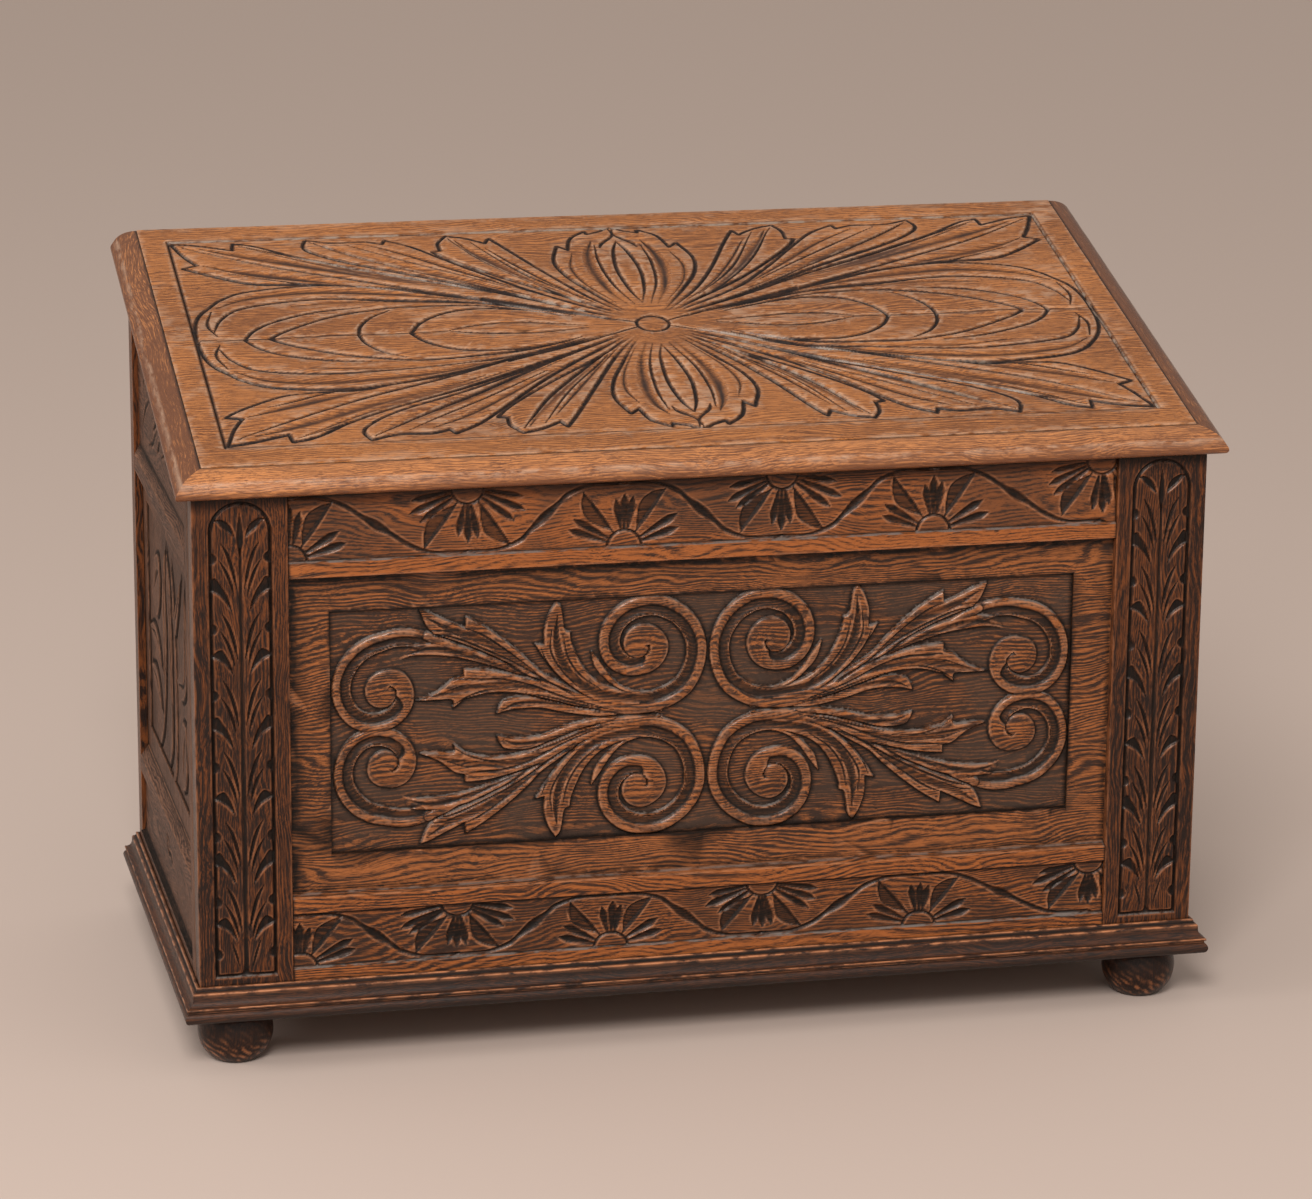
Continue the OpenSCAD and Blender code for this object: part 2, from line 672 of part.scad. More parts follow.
// Lid board with the tongue on its two sides and its front
module lid_board_body() {
    x = lid_board_x;
    color(lid_oak) difference() {
        intersection() {
            sloped() union() {
                block([-x, lid_board_q, lid_under], [x, lid_q_max + lid_t, lid_top]);
                block([-x - tongue_out, lid_board_q - tongue_out, tongue_n],
                    [x + tongue_out, lid_q_max + lid_t, tongue_n + tongue_h]);
            }
            block([-far, -far, 0], [far, lid_back_y, far]);
        }
        sloped() difference() {
            block([-x + lid_border_x, lid_field_q0, lid_top - lid_ground],
                [x - lid_border_x, lid_field_q1, lid_top + over]);
            translate([0, (lid_field_q0 + lid_field_q1) / 2, 0]) cylinder(r = boss_r, h = lid_top);
        }
        for (side = [-1, 1]) {
            hinge_at(side) {
                leaf_housing(1);
                leaf_screws(1, joint_gap / 4);
            }
            batten_screws_of(side, joint_gap / 4);
        }
    }
}

// Groove of a lid moulding, in the moulding's own outline
module moulding_outline() {
    difference() {
        polygon(thumb_profile());
        translate([-over, (lid_t - tongue_h) / 2 - joint_gap])
            square([tongue_out + over + joint_gap, tongue_h + 2 * joint_gap]);
    }
}

module lid_front_moulding_body() {
    x = lid_board_x;
    w = moulding_w;
    color(lid_oak) sloped() intersection() {
        translate([-x - w, lid_board_q, lid_under]) rotate([90, 0, 90])
            linear_extrude(2 * (x + w)) scale([-1, 1]) moulding_outline();
        linear_extrude(lid_top + over) polygon([[-x, lid_board_q], [x, lid_board_q],
            [x + w, lid_board_q - w], [-x - w, lid_board_q - w]]);
    }
}

// Right-hand lid moulding, mitred at the front and cut plumb at the back
module lid_side_moulding() {
    x = lid_board_x;
    w = moulding_w;
    q1 = lid_q_max + lid_t;
    color(lid_oak) intersection() {
        sloped() intersection() {
            translate([x, q1, lid_under]) rotate([90, 0, 0])
                linear_extrude(q1 - lid_board_q + w) moulding_outline();
            linear_extrude(lid_top + over) polygon([[x, lid_board_q], [x + w, lid_board_q - w],
                [x + w, q1], [x, q1]]);
        }
        block([-far, -far, 0], [far, lid_back_y, far]);
    }
}

// Batten screwed to the underside of the lid
module lid_batten(side) {
    x = side * batten_x;
    color(inner_oak) difference() {
        sloped() block([x - batten_w / 2, batten_start, lid_under - batten_t],
            [x + batten_w / 2, batten_end, lid_under]);
        batten_screws_of(side, joint_gap / 2);
    }
}

// The three screws of a batten, or their holes where a gap is given
module batten_screws_of(side, gap) {
    for (t = [batten_screw_end, 0.5, 1 - batten_screw_end]) sloped()
        translate([side * batten_x, batten_start + t * (batten_end - batten_start), lid_under - batten_t])
            screw(batten_screw_l, gap);
}

// Countersunk wood screw, its head flush with Z = 0 and its shank upwards, or its hole with a gap
module screw(length, gap) {
    if (gap > 0) translate([0, 0, -over]) cylinder(r = head_r + gap, h = over + gap);
    cylinder(r1 = head_r + gap, r2 = screw_r + gap, h = head_h);
    cylinder(r = screw_r + gap, h = length + gap);
}

// The frame of one hinge: X along the pin, Y up the slope from the pin, Z square to the lid
module hinge_at(side) {
    sloped() translate([side * hinge_x, pin_q, lid_gap / 2]) children();
}

// Housing of a leaf in the wood: above the carcass's edge for the lid (1), below it for the frame (-1)
module leaf_housing(up) {
    inner = up > 0 ? lid_gap / 2 - over : -lid_gap / 2 - leaf_t;
    outer = up > 0 ? lid_gap / 2 + leaf_t : -lid_gap / 2 + over;
    block([-hinge_l / 2 - joint_gap, -hinge_leaf_w - joint_gap, inner],
        [hinge_l / 2 + joint_gap, knuckle_r, outer]);
}

// The three screws of a leaf, or their holes where a gap is given
module leaf_screws(up, gap) {
    for (i = [-1:1]) translate([i * screw_pitch, screw_q, up * lid_gap / 2])
        rotate([up > 0 ? 0 : 180, 0, 0]) screw(hinge_screw_l, gap);
}

// One leaf with its knuckles: the frame's has the two outer ones, the lid's the middle one
module leaf(up) {
    third = hinge_l / 3;
    bore = up > 0 ? pin_r + pin_gap : pin_r + pin_gap / 2;
    z0 = up > 0 ? lid_gap / 2 : -lid_gap / 2 - leaf_t;
    spans = up > 0 ? [[-third / 2 + knuckle_gap, third / 2 - knuckle_gap]]
        : [[-hinge_l / 2, -third / 2 - knuckle_gap], [third / 2 + knuckle_gap, hinge_l / 2]];
    color(old_brass) difference() {
        union() {
            block([-hinge_l / 2, -hinge_leaf_w, z0],
                [hinge_l / 2, -knuckle_r - knuckle_gap, z0 + leaf_t]);
            for (s = spans) {
                block([s[0], -knuckle_r - over, z0], [s[1], 0, z0 + leaf_t]);
                translate([s[0], 0, 0]) rotate([0, 90, 0]) cylinder(r = knuckle_r, h = s[1] - s[0]);
            }
        }
        translate([-hinge_l, 0, 0]) rotate([0, 90, 0]) cylinder(r = bore, h = 2 * hinge_l);
        leaf_screws(up, joint_gap / 2);
    }
}

// Hinge pin with a small head at each end
module hinge_pin() {
    pin_end = hinge_l / 2 + pin_proud;
    color(old_steel) rotate([0, 90, 0]) {
        translate([0, 0, -pin_end]) cylinder(r = pin_r, h = 2 * pin_end);
        for (end = [-1, 1]) scale([1, 1, end]) translate([0, 0, pin_end])
            cylinder(r1 = pin_r + pin_head_lip, r2 = pin_r, h = pin_head_l);
    }
}

module left() {
    placed() mirror([1, 0, 0]) children();
}

module right() {
    placed() children();
}

left() front_stile();  // front_left_stile
right() front_stile();  // front_right_stile
left() rear_stile();  // rear_left_stile
right() rear_stile();  // rear_right_stile
left() side_stile();  // left_side_stile
right() side_stile();  // right_side_stile
placed() front_top_rail_body();  // front_top_rail
placed() front_bottom_rail_body();  // front_bottom_rail
placed() front_panel_body();  // front_panel
left() side_top_rail();  // left_top_rail
left() side_bottom_rail();  // left_bottom_rail
left() side_panel();  // left_panel
right() side_top_rail();  // right_top_rail
right() side_bottom_rail();  // right_bottom_rail
right() side_panel();  // right_panel
placed() rear_top_rail_body();  // rear_top_rail
placed() rear_bottom_rail_body();  // rear_bottom_rail
placed() rear_muntin_body();  // rear_muntin
left() rear_panel();  // rear_left_panel
right() rear_panel();  // rear_right_panel
placed() bottom_board(0);  // bottom_board_front
placed() bottom_board(1);  // bottom_board_middle
placed() bottom_board(2);  // bottom_board_rear
placed() long_ledger(y_front + front_t);  // front_ledger
placed() long_ledger(side_y1 - ledger);  // rear_ledger
left() side_ledger();  // left_ledger
right() side_ledger();  // right_ledger
left() corner_block(y_front + front_t, front_foot_y);  // front_left_block
right() corner_block(y_front + front_t, front_foot_y);  // front_right_block
left() corner_block(side_y1 - block_side, rear_foot_y);  // rear_left_block
right() corner_block(side_y1 - block_side, rear_foot_y);  // rear_right_block
placed() plinth_run(x_out, y_rear);  // plinth_front
placed() rotate([0, 0, 180]) plinth_run(x_out, y_rear);  // plinth_rear
placed() rotate([0, 0, -90]) plinth_run(y_rear, x_out);  // plinth_left
placed() rotate([0, 0, 90]) plinth_run(y_rear, x_out);  // plinth_right
placed() foot(-foot_x, front_foot_y);  // front_left_foot
placed() foot(foot_x, front_foot_y);  // front_right_foot
placed() foot(-foot_x, rear_foot_y);  // rear_left_foot
placed() foot(foot_x, rear_foot_y);  // rear_right_foot
placed() lid_board_body();  // lid_board
placed() lid_front_moulding_body();  // lid_front_moulding
left() lid_side_moulding();  // lid_left_moulding
right() lid_side_moulding();  // lid_right_moulding
placed() lid_batten(-1);  // lid_left_batten
placed() lid_batten(1);  // lid_right_batten
placed() for (side = [-1, 1]) color(old_steel)  // batten_screws
    batten_screws_of(side, 0);
placed() hinge_at(-1) leaf(-1);  // left_hinge_frame_leaf
placed() hinge_at(-1) leaf(1);  // left_hinge_lid_leaf
placed() hinge_at(-1) hinge_pin();  // left_hinge_pin
placed() hinge_at(1) leaf(-1);  // right_hinge_frame_leaf
placed() hinge_at(1) leaf(1);  // right_hinge_lid_leaf
placed() hinge_at(1) hinge_pin();  // right_hinge_pin
placed() for (side = [-1, 1]) color(old_steel)  // frame_leaf_screws
    hinge_at(side) leaf_screws(-1, 0);
placed() for (side = [-1, 1]) color(old_steel)  // lid_leaf_screws
    hinge_at(side) leaf_screws(1, 0);
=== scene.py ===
from functools import partial
from math import cos, pi, radians, sin

import bmesh
import bpy
import numpy as np
from mathutils import Matrix, Vector


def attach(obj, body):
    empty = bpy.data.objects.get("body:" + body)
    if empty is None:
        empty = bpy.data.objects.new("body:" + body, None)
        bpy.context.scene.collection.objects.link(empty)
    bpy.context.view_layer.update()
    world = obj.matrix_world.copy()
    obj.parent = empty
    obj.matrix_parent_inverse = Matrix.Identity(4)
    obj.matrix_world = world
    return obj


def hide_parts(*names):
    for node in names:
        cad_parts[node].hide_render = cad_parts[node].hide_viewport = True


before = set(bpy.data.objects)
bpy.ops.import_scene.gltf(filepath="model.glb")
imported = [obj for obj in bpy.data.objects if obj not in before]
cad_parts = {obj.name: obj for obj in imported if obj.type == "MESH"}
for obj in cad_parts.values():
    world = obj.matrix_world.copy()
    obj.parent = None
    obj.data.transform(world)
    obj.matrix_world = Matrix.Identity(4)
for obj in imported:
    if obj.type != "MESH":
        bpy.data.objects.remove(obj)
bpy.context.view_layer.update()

scene = bpy.context.scene

# The room: a plain pale floor that runs out of sight under a broad soft light, stronger from the front
# and left, as in a studio. The camera stands a little to the left of the chest's front and looks
# down on its lid, as the photograph does.
ROOM_COLOUR = (0.60, 0.487, 0.430)
view_turn = radians(-13.15)
view_tilt = radians(15.074)
view_roll = radians(0.484)
view_distance = 4.238
view_target = Vector((0.0029, 0.0002, 0.3503))

camera = bpy.data.objects.new("camera", bpy.data.cameras.new("camera"))
scene.collection.objects.link(camera)
away = Vector((sin(view_turn) * cos(view_tilt), -cos(view_turn) * cos(view_tilt), sin(view_tilt)))
level = Vector((cos(view_turn), sin(view_turn), 0))
upright = away.cross(level)
right = cos(view_roll) * level + sin(view_roll) * upright
up = cos(view_roll) * upright - sin(view_roll) * level
camera.matrix_world = Matrix.Translation(view_target + view_distance * away) @ Matrix(
    (right, up, away)).transposed().to_4x4()
camera.data.sensor_fit = "HORIZONTAL"
camera.data.sensor_width = 36
camera.data.lens = 124.19
camera.data.clip_end = 200
scene.camera = camera
scene.view_settings.view_transform = "Standard"
CHEST_MIDDLE = Vector((0, 0, 0.35))


def soft_lamp(name, place, size, power, colour):
    """A square area lamp that faces the middle of the chest."""
    data = bpy.data.lights.new(name, "AREA")
    data.size = size
    data.energy = power
    data.color = colour
    lamp = bpy.data.objects.new(name, data)
    scene.collection.objects.link(lamp)
    aim = CHEST_MIDDLE - Vector(place)
    lamp.matrix_world = Matrix.Translation(place) @ aim.to_track_quat("-Z", "Y").to_matrix().to_4x4()


soft_lamp("key_lamp", (-1.5, -4.2, 4.0), 1.8, 200, (1.0, 0.97, 0.93))
soft_lamp("side_lamp", (-4.4, -0.6, 2.4), 1.6, 42, (1.0, 0.97, 0.94))


def shader_node(tree, kind, inputs=None, **settings):
    """One node of a shader: inputs maps its sockets to values or to other nodes' sockets, and
    settings are its own properties."""
    made = tree.nodes.new(kind)
    for key, value in settings.items():
        setattr(made, key, value)
    for key, value in (inputs or {}).items():
        socket = made.inputs[key]
        if isinstance(value, bpy.types.NodeSocket):
            tree.links.new(value, socket)
        else:
            socket.default_value = value
    return made


def plain_material(name):
    """A material with nothing but its surface shader, and that shader."""
    made = bpy.data.materials.new(name)
    made.use_nodes = True
    return made, made.node_tree, made.node_tree.nodes["Principled BSDF"]


world = bpy.data.worlds.new("room")
scene.world = world
world.use_nodes = True
sky = world.node_tree.nodes["Background"]
sky.inputs["Color"].default_value = (1.0, 0.93, 0.86, 1)
LIGHT_SIDE = (-0.25, -0.60, 0.76)
direction = shader_node(world.node_tree, "ShaderNodeTexCoord").outputs["Generated"]
toward = shader_node(world.node_tree, "ShaderNodeVectorMath", {0: direction, 1: LIGHT_SIDE},
                     operation="DOT_PRODUCT").outputs["Value"]
glow = shader_node(world.node_tree, "ShaderNodeMapRange", {
    "Value": toward, "From Min": -0.3, "From Max": 1.0, "To Min": 0.26, "To Max": 0.76})
world.node_tree.links.new(glow.outputs[0], sky.inputs["Strength"])

FLOOR_HALF = 40.0
floor_corners = [(x * FLOOR_HALF, y * FLOOR_HALF, 0) for x, y in ((-1, -1), (1, -1), (1, 1), (-1, 1))]
floor_mesh = bpy.data.meshes.new("floor")
floor_mesh.from_pydata(floor_corners, [], [(0, 1, 2, 3)])
floor = bpy.data.objects.new("floor", floor_mesh)
scene.collection.objects.link(floor)
floor_paint, tree, surface = plain_material("floor_paint")
surface.inputs["Base Color"].default_value = (*ROOM_COLOUR, 1)
surface.inputs["Roughness"].default_value = 0.9
floor_mesh.materials.append(floor_paint)

# The two front stiles: upright oak boards, fumed and waxed nearly black, worn to orange brown where
# hands have rubbed them. A strip of overlapping leaves is cut down the face of each with a gouge,
# and the rails are tenoned into their inner edges.
MM = 0.001


def oak_group():
    """Shader group of fumed oak. Orange wood shows through the dark wax in streaks along X, the run
    of the grain, thick in some patches and thin in others; sunk ground shows fewer of them. Rubbed
    arrises are pale and polished, wax turns the hollows black and dull, and the same black is
    painted as shade under overhangs, beside walls and on undersides. A grey highlight is painted
    on walls that face up. These come from the piece's own carving attribute: red for rubbed edges
    and a painted highlight on the lid's thumb, green for hollows and painted shade, blue for sunk
    ground and, on mouldings, for painted shade, and alpha, handed over as Facing, for walls that
    face up, which take the painted highlight."""
    group = bpy.data.node_groups.new("oak", "ShaderNodeTree")
    sockets = {"INPUT": {"Vector": ("Vector",),
                         "Color": ("Carving", "Pale", "Dark", "Wax", "Rubbed", "DustAndShade", "PaintedGlint"),
                         "Float": ("Facing", "Cover", "Contrast", "Figure", "Rubbing", "Ground", "Gloss",
                                   "Polish")},
               "OUTPUT": {"Color": ("Color",), "Float": ("Roughness", "Polish", "Height")}}
    for way, kinds in sockets.items():
        for kind, names in kinds.items():
            for name in names:
                group.interface.new_socket(name, in_out=way, socket_type="NodeSocket" + kind)
    given = group.nodes.new("NodeGroupInput").outputs
    place = given["Vector"]

    def vectors(kind, a, b):
        return shader_node(group, "ShaderNodeVectorMath", {0: a, 1: b}, operation=kind).outputs

    def noise(waves, detail, rough=0.5, warp=0.0, source=place, output="Fac"):
        """Noise stretched to so many waves a metre along the grain and across it."""
        return shader_node(group, "ShaderNodeTexNoise", {
            "Vector": vectors("MULTIPLY", source, waves)[0], "Scale": 1.0, "Detail": detail,
            "Roughness": rough, "Distortion": warp}).outputs[output]

    def between(value, low, high, to_low=0.0, to_high=1.0):
        return shader_node(group, "ShaderNodeMapRange", {
            "Value": value, "From Min": low, "From Max": high, "To Min": to_low,
            "To Max": to_high}, interpolation_type="SMOOTHSTEP").outputs[0]

    def maths(kind, a, b):
        return shader_node(group, "ShaderNodeMath", {0: a, 1: b}, operation=kind).outputs[0]

    def mixed(share, a, b):
        return shader_node(group, "ShaderNodeMix", {"Factor": share, 6: a, 7: b},
                           data_type="RGBA").outputs[2]

    # The grain wanders: points are pushed sideways by a slow noise before the streaks are drawn
    slow = noise((7, 16, 16), 2.0, output="Color")
    push = vectors("MULTIPLY", vectors("SUBTRACT", slow, (0.5, 0.5, 0.5))[0], (0.0, 0.034, 0.034))[0]
    wandering = vectors("ADD", place, push)[0]
    rings = noise((22, 640, 640), 2.0, 0.5, 0.3, wandering)
    streaks = noise((60, 1150, 1150), 3.0, 0.6, 0.4, wandering)
    # The figure: yearly rings cut at a flat angle, parallel lines that a slow noise bends and crowds
    slopes = noise((3, 26, 26), 1.0, 0.4, 0.0, wandering)
    across = vectors("DOT_PRODUCT", wandering, (0, 1650, 1650))["Value"]
    waves = maths("SINE", maths("ADD", across, maths("MULTIPLY", slopes, 85.0)), 0.0)
    figure = maths("MULTIPLY", maths("MULTIPLY", waves, 0.080), given["Figure"])
    fibres = noise((80, 2300, 2300), 2.0, 0.6, 0.0, wandering)
    pores = between(noise((130, 1700, 1700), 1.0, 0.5, 0.0, wandering), 0.62, 0.70)
    patches = noise((5, 9, 9), 3.0)

    parts = shader_node(group, "ShaderNodeSeparateColor", {0: given["Carving"]}).outputs
    # Blue is sunk ground on boards; on mouldings it is painted shade
    sunk = maths("MULTIPLY", parts[2], given["Ground"])
    tone = maths("ADD", maths("MULTIPLY", rings, 0.26), maths("MULTIPLY", streaks, 0.50))
    tone = maths("ADD", maths("ADD", tone, maths("MULTIPLY", fibres, 0.24)), figure)
    cover = maths("MULTIPLY", maths("SUBTRACT", patches, 0.5), 0.46)
    cover = maths("ADD", cover, maths("SUBTRACT", given["Cover"], 0.5))
    cover = maths("SUBTRACT", cover, maths("MULTIPLY", sunk, 0.12))
    shown = between(maths("ADD", tone, maths("MULTIPLY", cover, 0.50)), 0.39, 0.61)
    wood = mixed(maths("MULTIPLY", shown, given["Contrast"]), given["Dark"], given["Pale"])
    wood = mixed(maths("MULTIPLY", pores, 0.55), wood, given["Dark"])
    dust_and_shade_patches = between(noise((9, 17, 17), 2.0, 0.5, 0.6), 0.40, 0.60, 0.20, 0.82)
    wood = mixed(maths("MULTIPLY", sunk, dust_and_shade_patches), wood, given["DustAndShade"])

    rub_patch = between(noise((60, 150, 150), 3.0, 0.6), 0.36, 0.60)
    rubbed = maths("MULTIPLY", maths("MULTIPLY", parts[0], rub_patch), given["Rubbing"])
    wax_patch = between(noise((90, 260, 260), 2.0, 0.6), 0.25, 0.7, 0.8, 1.0)
    waxed_and_shaded = maths("MULTIPLY", parts[1], wax_patch)
    wood = mixed(rubbed, wood, given["Rubbed"])
    # Wax black in the hollows, also painted as shade under overhangs, beside walls and on undersides
    wood = mixed(waxed_and_shaded, wood, given["Wax"])
    # Painted highlight: grey on walls that face up
    wood = mixed(maths("MULTIPLY", given["Facing"], rub_patch), wood, given["PaintedGlint"])

    rough = maths("ADD", given["Gloss"], maths("MULTIPLY", maths("SUBTRACT", 0.5, fibres), 0.3))
    rough = maths("ADD", rough, maths("MULTIPLY", waxed_and_shaded, 0.12))
    polish = maths("ADD", given["Polish"], maths("MULTIPLY", rubbed, 0.5))
    polish = maths("MULTIPLY", polish, maths("SUBTRACT", 1.0, maths("MULTIPLY", waxed_and_shaded, 0.9)))
    height = maths("ADD", maths("MULTIPLY", streaks, 0.45), maths("MULTIPLY", fibres, 0.5))
    height = maths("SUBTRACT", height, maths("MULTIPLY", pores, 0.7))
    leaving = group.nodes.new("NodeGroupOutput").inputs
    group.links.new(wood, leaving["Color"])
    group.links.new(rough, leaving["Roughness"])
    group.links.new(polish, leaving["Polish"])
    group.links.new(height, leaving["Height"])
    return group


oak = oak_group()
GRAIN = {"x": (0, 0, 0), "y": (0, 0, pi / 2), "z": (0, pi / 2, 0)}


def oak_material(name, grain, offset, pale, dark, rubbed, wax=(0.008, 0.006, 0.005),
                 dust_and_shade=(0.040, 0.030, 0.026), painted_glint=(0.20, 0.175, 0.16), cover=0.5, contrast=1.0,
                 figure=1.0, rubbing=0.7, ground=0.8, gloss=0.37, shine=0.16, relief=0.00036,
                 polish=0.14):
    """Waxed oak whose grain runs along one axis of the chest: grain is that axis's letter, and
    offset shifts the figure in metres so that no two boards share it. The grey colour for walls
    that face up is a painted highlight, and the wax colour and the colour of the blue channel also
    serve as painted shade."""
    made, tree, surface = plain_material(name)
    where = shader_node(tree, "ShaderNodeTexCoord").outputs["Object"]
    turned = shader_node(tree, "ShaderNodeMapping", {
        "Vector": where, "Location": offset, "Rotation": GRAIN[grain]}).outputs[0]
    carving = shader_node(tree, "ShaderNodeAttribute", attribute_name="carving").outputs
    wood = shader_node(tree, "ShaderNodeGroup", node_tree=oak)
    tree.links.new(turned, wood.inputs["Vector"])
    tree.links.new(carving["Color"], wood.inputs["Carving"])
    tree.links.new(carving["Alpha"], wood.inputs["Facing"])
    for key, value in {"Pale": pale, "Dark": dark, "Wax": wax, "Rubbed": rubbed, "DustAndShade": dust_and_shade,
                       "PaintedGlint": painted_glint}.items():
        wood.inputs[key].default_value = (*value, 1)
    for key, value in {"Cover": cover, "Contrast": contrast, "Figure": figure, "Rubbing": rubbing,
                       "Ground": ground, "Gloss": gloss, "Polish": polish}.items():
        wood.inputs[key].default_value = value
    for found, wanted in (("Color", "Base Color"), ("Roughness", "Roughness"), ("Polish", "Coat Weight")):
        tree.links.new(wood.outputs[found], surface.inputs[wanted])
    bump = shader_node(tree, "ShaderNodeBump", {"Strength": 0.8, "Distance": relief,
                                                "Height": wood.outputs["Height"]})
    tree.links.new(bump.outputs[0], surface.inputs["Normal"])
    surface.inputs["Specular IOR Level"].default_value = shine
    surface.inputs["Coat Roughness"].default_value = 0.22
    return made


def blurred(field, passes, reach):
    """The field averaged over a square of the given half width in cells, several times over."""
    for _ in range(passes):
        for axis in (0, 1):
            padded = np.pad(field, [(reach + 1, reach) if a == axis else (0, 0) for a in (0, 1)],
                            mode="edge")
            total = np.cumsum(padded, axis=axis)
            ahead = np.take(total, range(2 * reach + 1, total.shape[axis]), axis=axis)
            behind = np.take(total, range(0, total.shape[axis] - 2 * reach - 1), axis=axis)
            field = (ahead - behind) / (2 * reach + 1)
    return field


def smooth_line(points, steps=7):
    """A smooth line through the given points (Catmull-Rom), with as many columns as they have."""
    given = np.array(points, float)
    given = np.vstack([2 * given[0] - given[1], given, 2 * given[-1] - given[-2]])
    t = (np.arange(steps) / steps)[:, None]
    runs = [b + 0.5 * t * (c - a + t * (2 * a - 5 * b + 4 * c - d + t * (3 * b - a - 3 * c + d)))
            for a, b, c, d in zip(given[:-3], given[1:-2], given[2:-1], given[3:])]
    return np.vstack(runs + [given[-2:-1]])


def closed_line(points, steps=5):
    """A closed outline through points (x, y): smooth, but sharp at each point that has a third
    value, which marks a tip or a notch."""
    flat = np.array([point[:2] for point in points], float)
    sharp = [k for k, point in enumerate(points) if len(point) > 2] or [0]
    flat = np.roll(flat, -sharp[0], axis=0)
    stops = [k - sharp[0] for k in sharp] + [len(flat)]
    flat = np.vstack([flat, flat[:1]])
    return np.vstack([smooth_line(flat[a:b + 1], steps)[:-1] for a, b in zip(stops[:-1], stops[1:])]
                     + [flat[-1:]])


class Carving:
    """A face under the gouge: the places x and y of its points in millimetres and how deep each lies
    below the face. Ground is the depth to which the carver sinks what stands between the leaves, and
    ink is how black old wax has made each point: 1 in the narrow cuts. In the hollows of the scrolls
    ink also holds painted shade."""

    def __init__(self, x, y, ground):
        self.shape = x.shape
        self.x, self.y = x.ravel(), y.ravel()
        self.ground = ground
        self.depth = np.full(self.x.size, float(ground))
        self.ink = np.zeros(self.x.size)

    def near(self, line, reach):
        """Numbers of the points within reach of the box round a line."""
        low, high = line[:, :2].min(0) - reach, line[:, :2].max(0) + reach
        beside = (self.x > low[0]) & (self.x < high[0])
        return np.flatnonzero(beside & (self.y > low[1]) & (self.y < high[1]))

    def measure(self, here, line):
        """Four rows for the points here: distance to the line, share of its length at the nearest
        place, side (1 is left of its run), and the line's third column there."""
        x, y = self.x[here], self.y[here]
        if line.shape[1] < 3:
            line = np.column_stack([line, np.zeros(len(line))])
        run = np.append(0, np.cumsum(np.hypot(*np.diff(line[:, :2], axis=0).T)))
        best = np.full((4, len(here)), np.inf)
        for a, b, start, end in zip(line[:-1], line[1:], run[:-1], run[1:]):
            dx, dy = b[0] - a[0], b[1] - a[1]
            t = np.clip(((x - a[0]) * dx + (y - a[1]) * dy) / max(dx * dx + dy * dy, 1e-9), 0, 1)
            found = np.stack([np.hypot(x - a[0] - t * dx, y - a[1] - t * dy),
                              (start + t * (end - start)) / run[-1],
                              np.sign(dx * (y - a[1]) - dy * (x - a[0])), a[2] + t * (b[2] - a[2])])
            best = np.where(found[0] < best[0], found, best)
        return best

    def within(self, points, reach=1.6):
        """Points near a closed outline and how far inside it each lies (negative outside)."""
        line = closed_line(points)
        here = self.near(line, reach)
        x, y = self.x[here], self.y[here]
        inside = np.zeros(len(here), bool)
        for a, b in zip(line[:-1], line[1:]):
            across = (a[1] > y) != (b[1] > y)
            rise = b[1] - a[1] if b[1] != a[1] else 1.0
            inside ^= across & (x < a[0] + (y - a[1]) / rise * (b[0] - a[0]))
        return here, np.where(inside, 1, -1) * self.measure(here, line)[0]

    def blacken(self, here, share):
        """Lets wax fill the points here, where share is above what they have."""
        self.ink[here] = np.maximum(self.ink[here], share)

    def stand(self, points, top=0.6, wall=1.6, rim=0.9, cup=0.0, rim_w=1.4, always=0.0):
        """Leaves a blade standing: its shoulders are rounded over wall, its middle is cup deeper,
        and a cut of depth rim and half width rim_w parts it from whatever else stands beside it, or
        from the ground too where always is 1."""
        here, inward = self.within(points, rim_w + 0.2)
        shoulder = np.sqrt(1 - (1 - np.clip(inward / wall, 0, 1)) ** 2)
        level = self.ground + (top - self.ground) * shoulder + cup * np.clip((inward - wall) / 6, 0, 1)
        old = self.depth[here]
        crowded = np.maximum(np.clip((self.ground - old) / self.ground * 2, 0, 1), always)
        new = np.where(inward > 0, np.minimum(old, level), old)
        self.depth[here] = new + rim * crowded * np.clip(1 - np.abs(inward) / rim_w, 0, 1)
        self.ink[here] *= np.clip(1 - (inward - rim_w) / 1.5, 0, 1)
        self.blacken(here, np.clip(2.2 - np.abs(inward + 0.5) / rim_w * 2.2, 0, 1))

    def sink(self, points, deep, wall=1.2, ink=0.6):
        """Takes the inside of an outline down by deep, with walls that slope over wall."""
        here, inward = self.within(points)
        self.depth[here] += deep * np.clip(inward / wall, 0, 1)
        self.blacken(here, ink * np.clip(inward / wall - 0.4, 0, 1))

    def gouge(self, points, deep, shape=2.0, ink=1.0, most=9.0):
        """Scoops a groove along a smooth line through points (x, y, half width): shape 2 leaves a
        round floor, 1 a sharp one. It is shallower where it is narrower."""
        line = smooth_line(points)
        broadest = line[:, 2].max()
        here = self.near(line, broadest)
        gap, _, _, half = self.measure(here, line)
        half = np.maximum(half, 0.05)
        scoop = deep * np.clip(1 - (gap / half) ** shape, 0, 1) * np.sqrt(half / broadest)
        self.depth[here] = np.minimum(self.depth[here] + scoop, np.maximum(most, self.depth[here]))
        self.blacken(here, ink * np.clip(2.4 * (1 - gap / half), 0, 1))

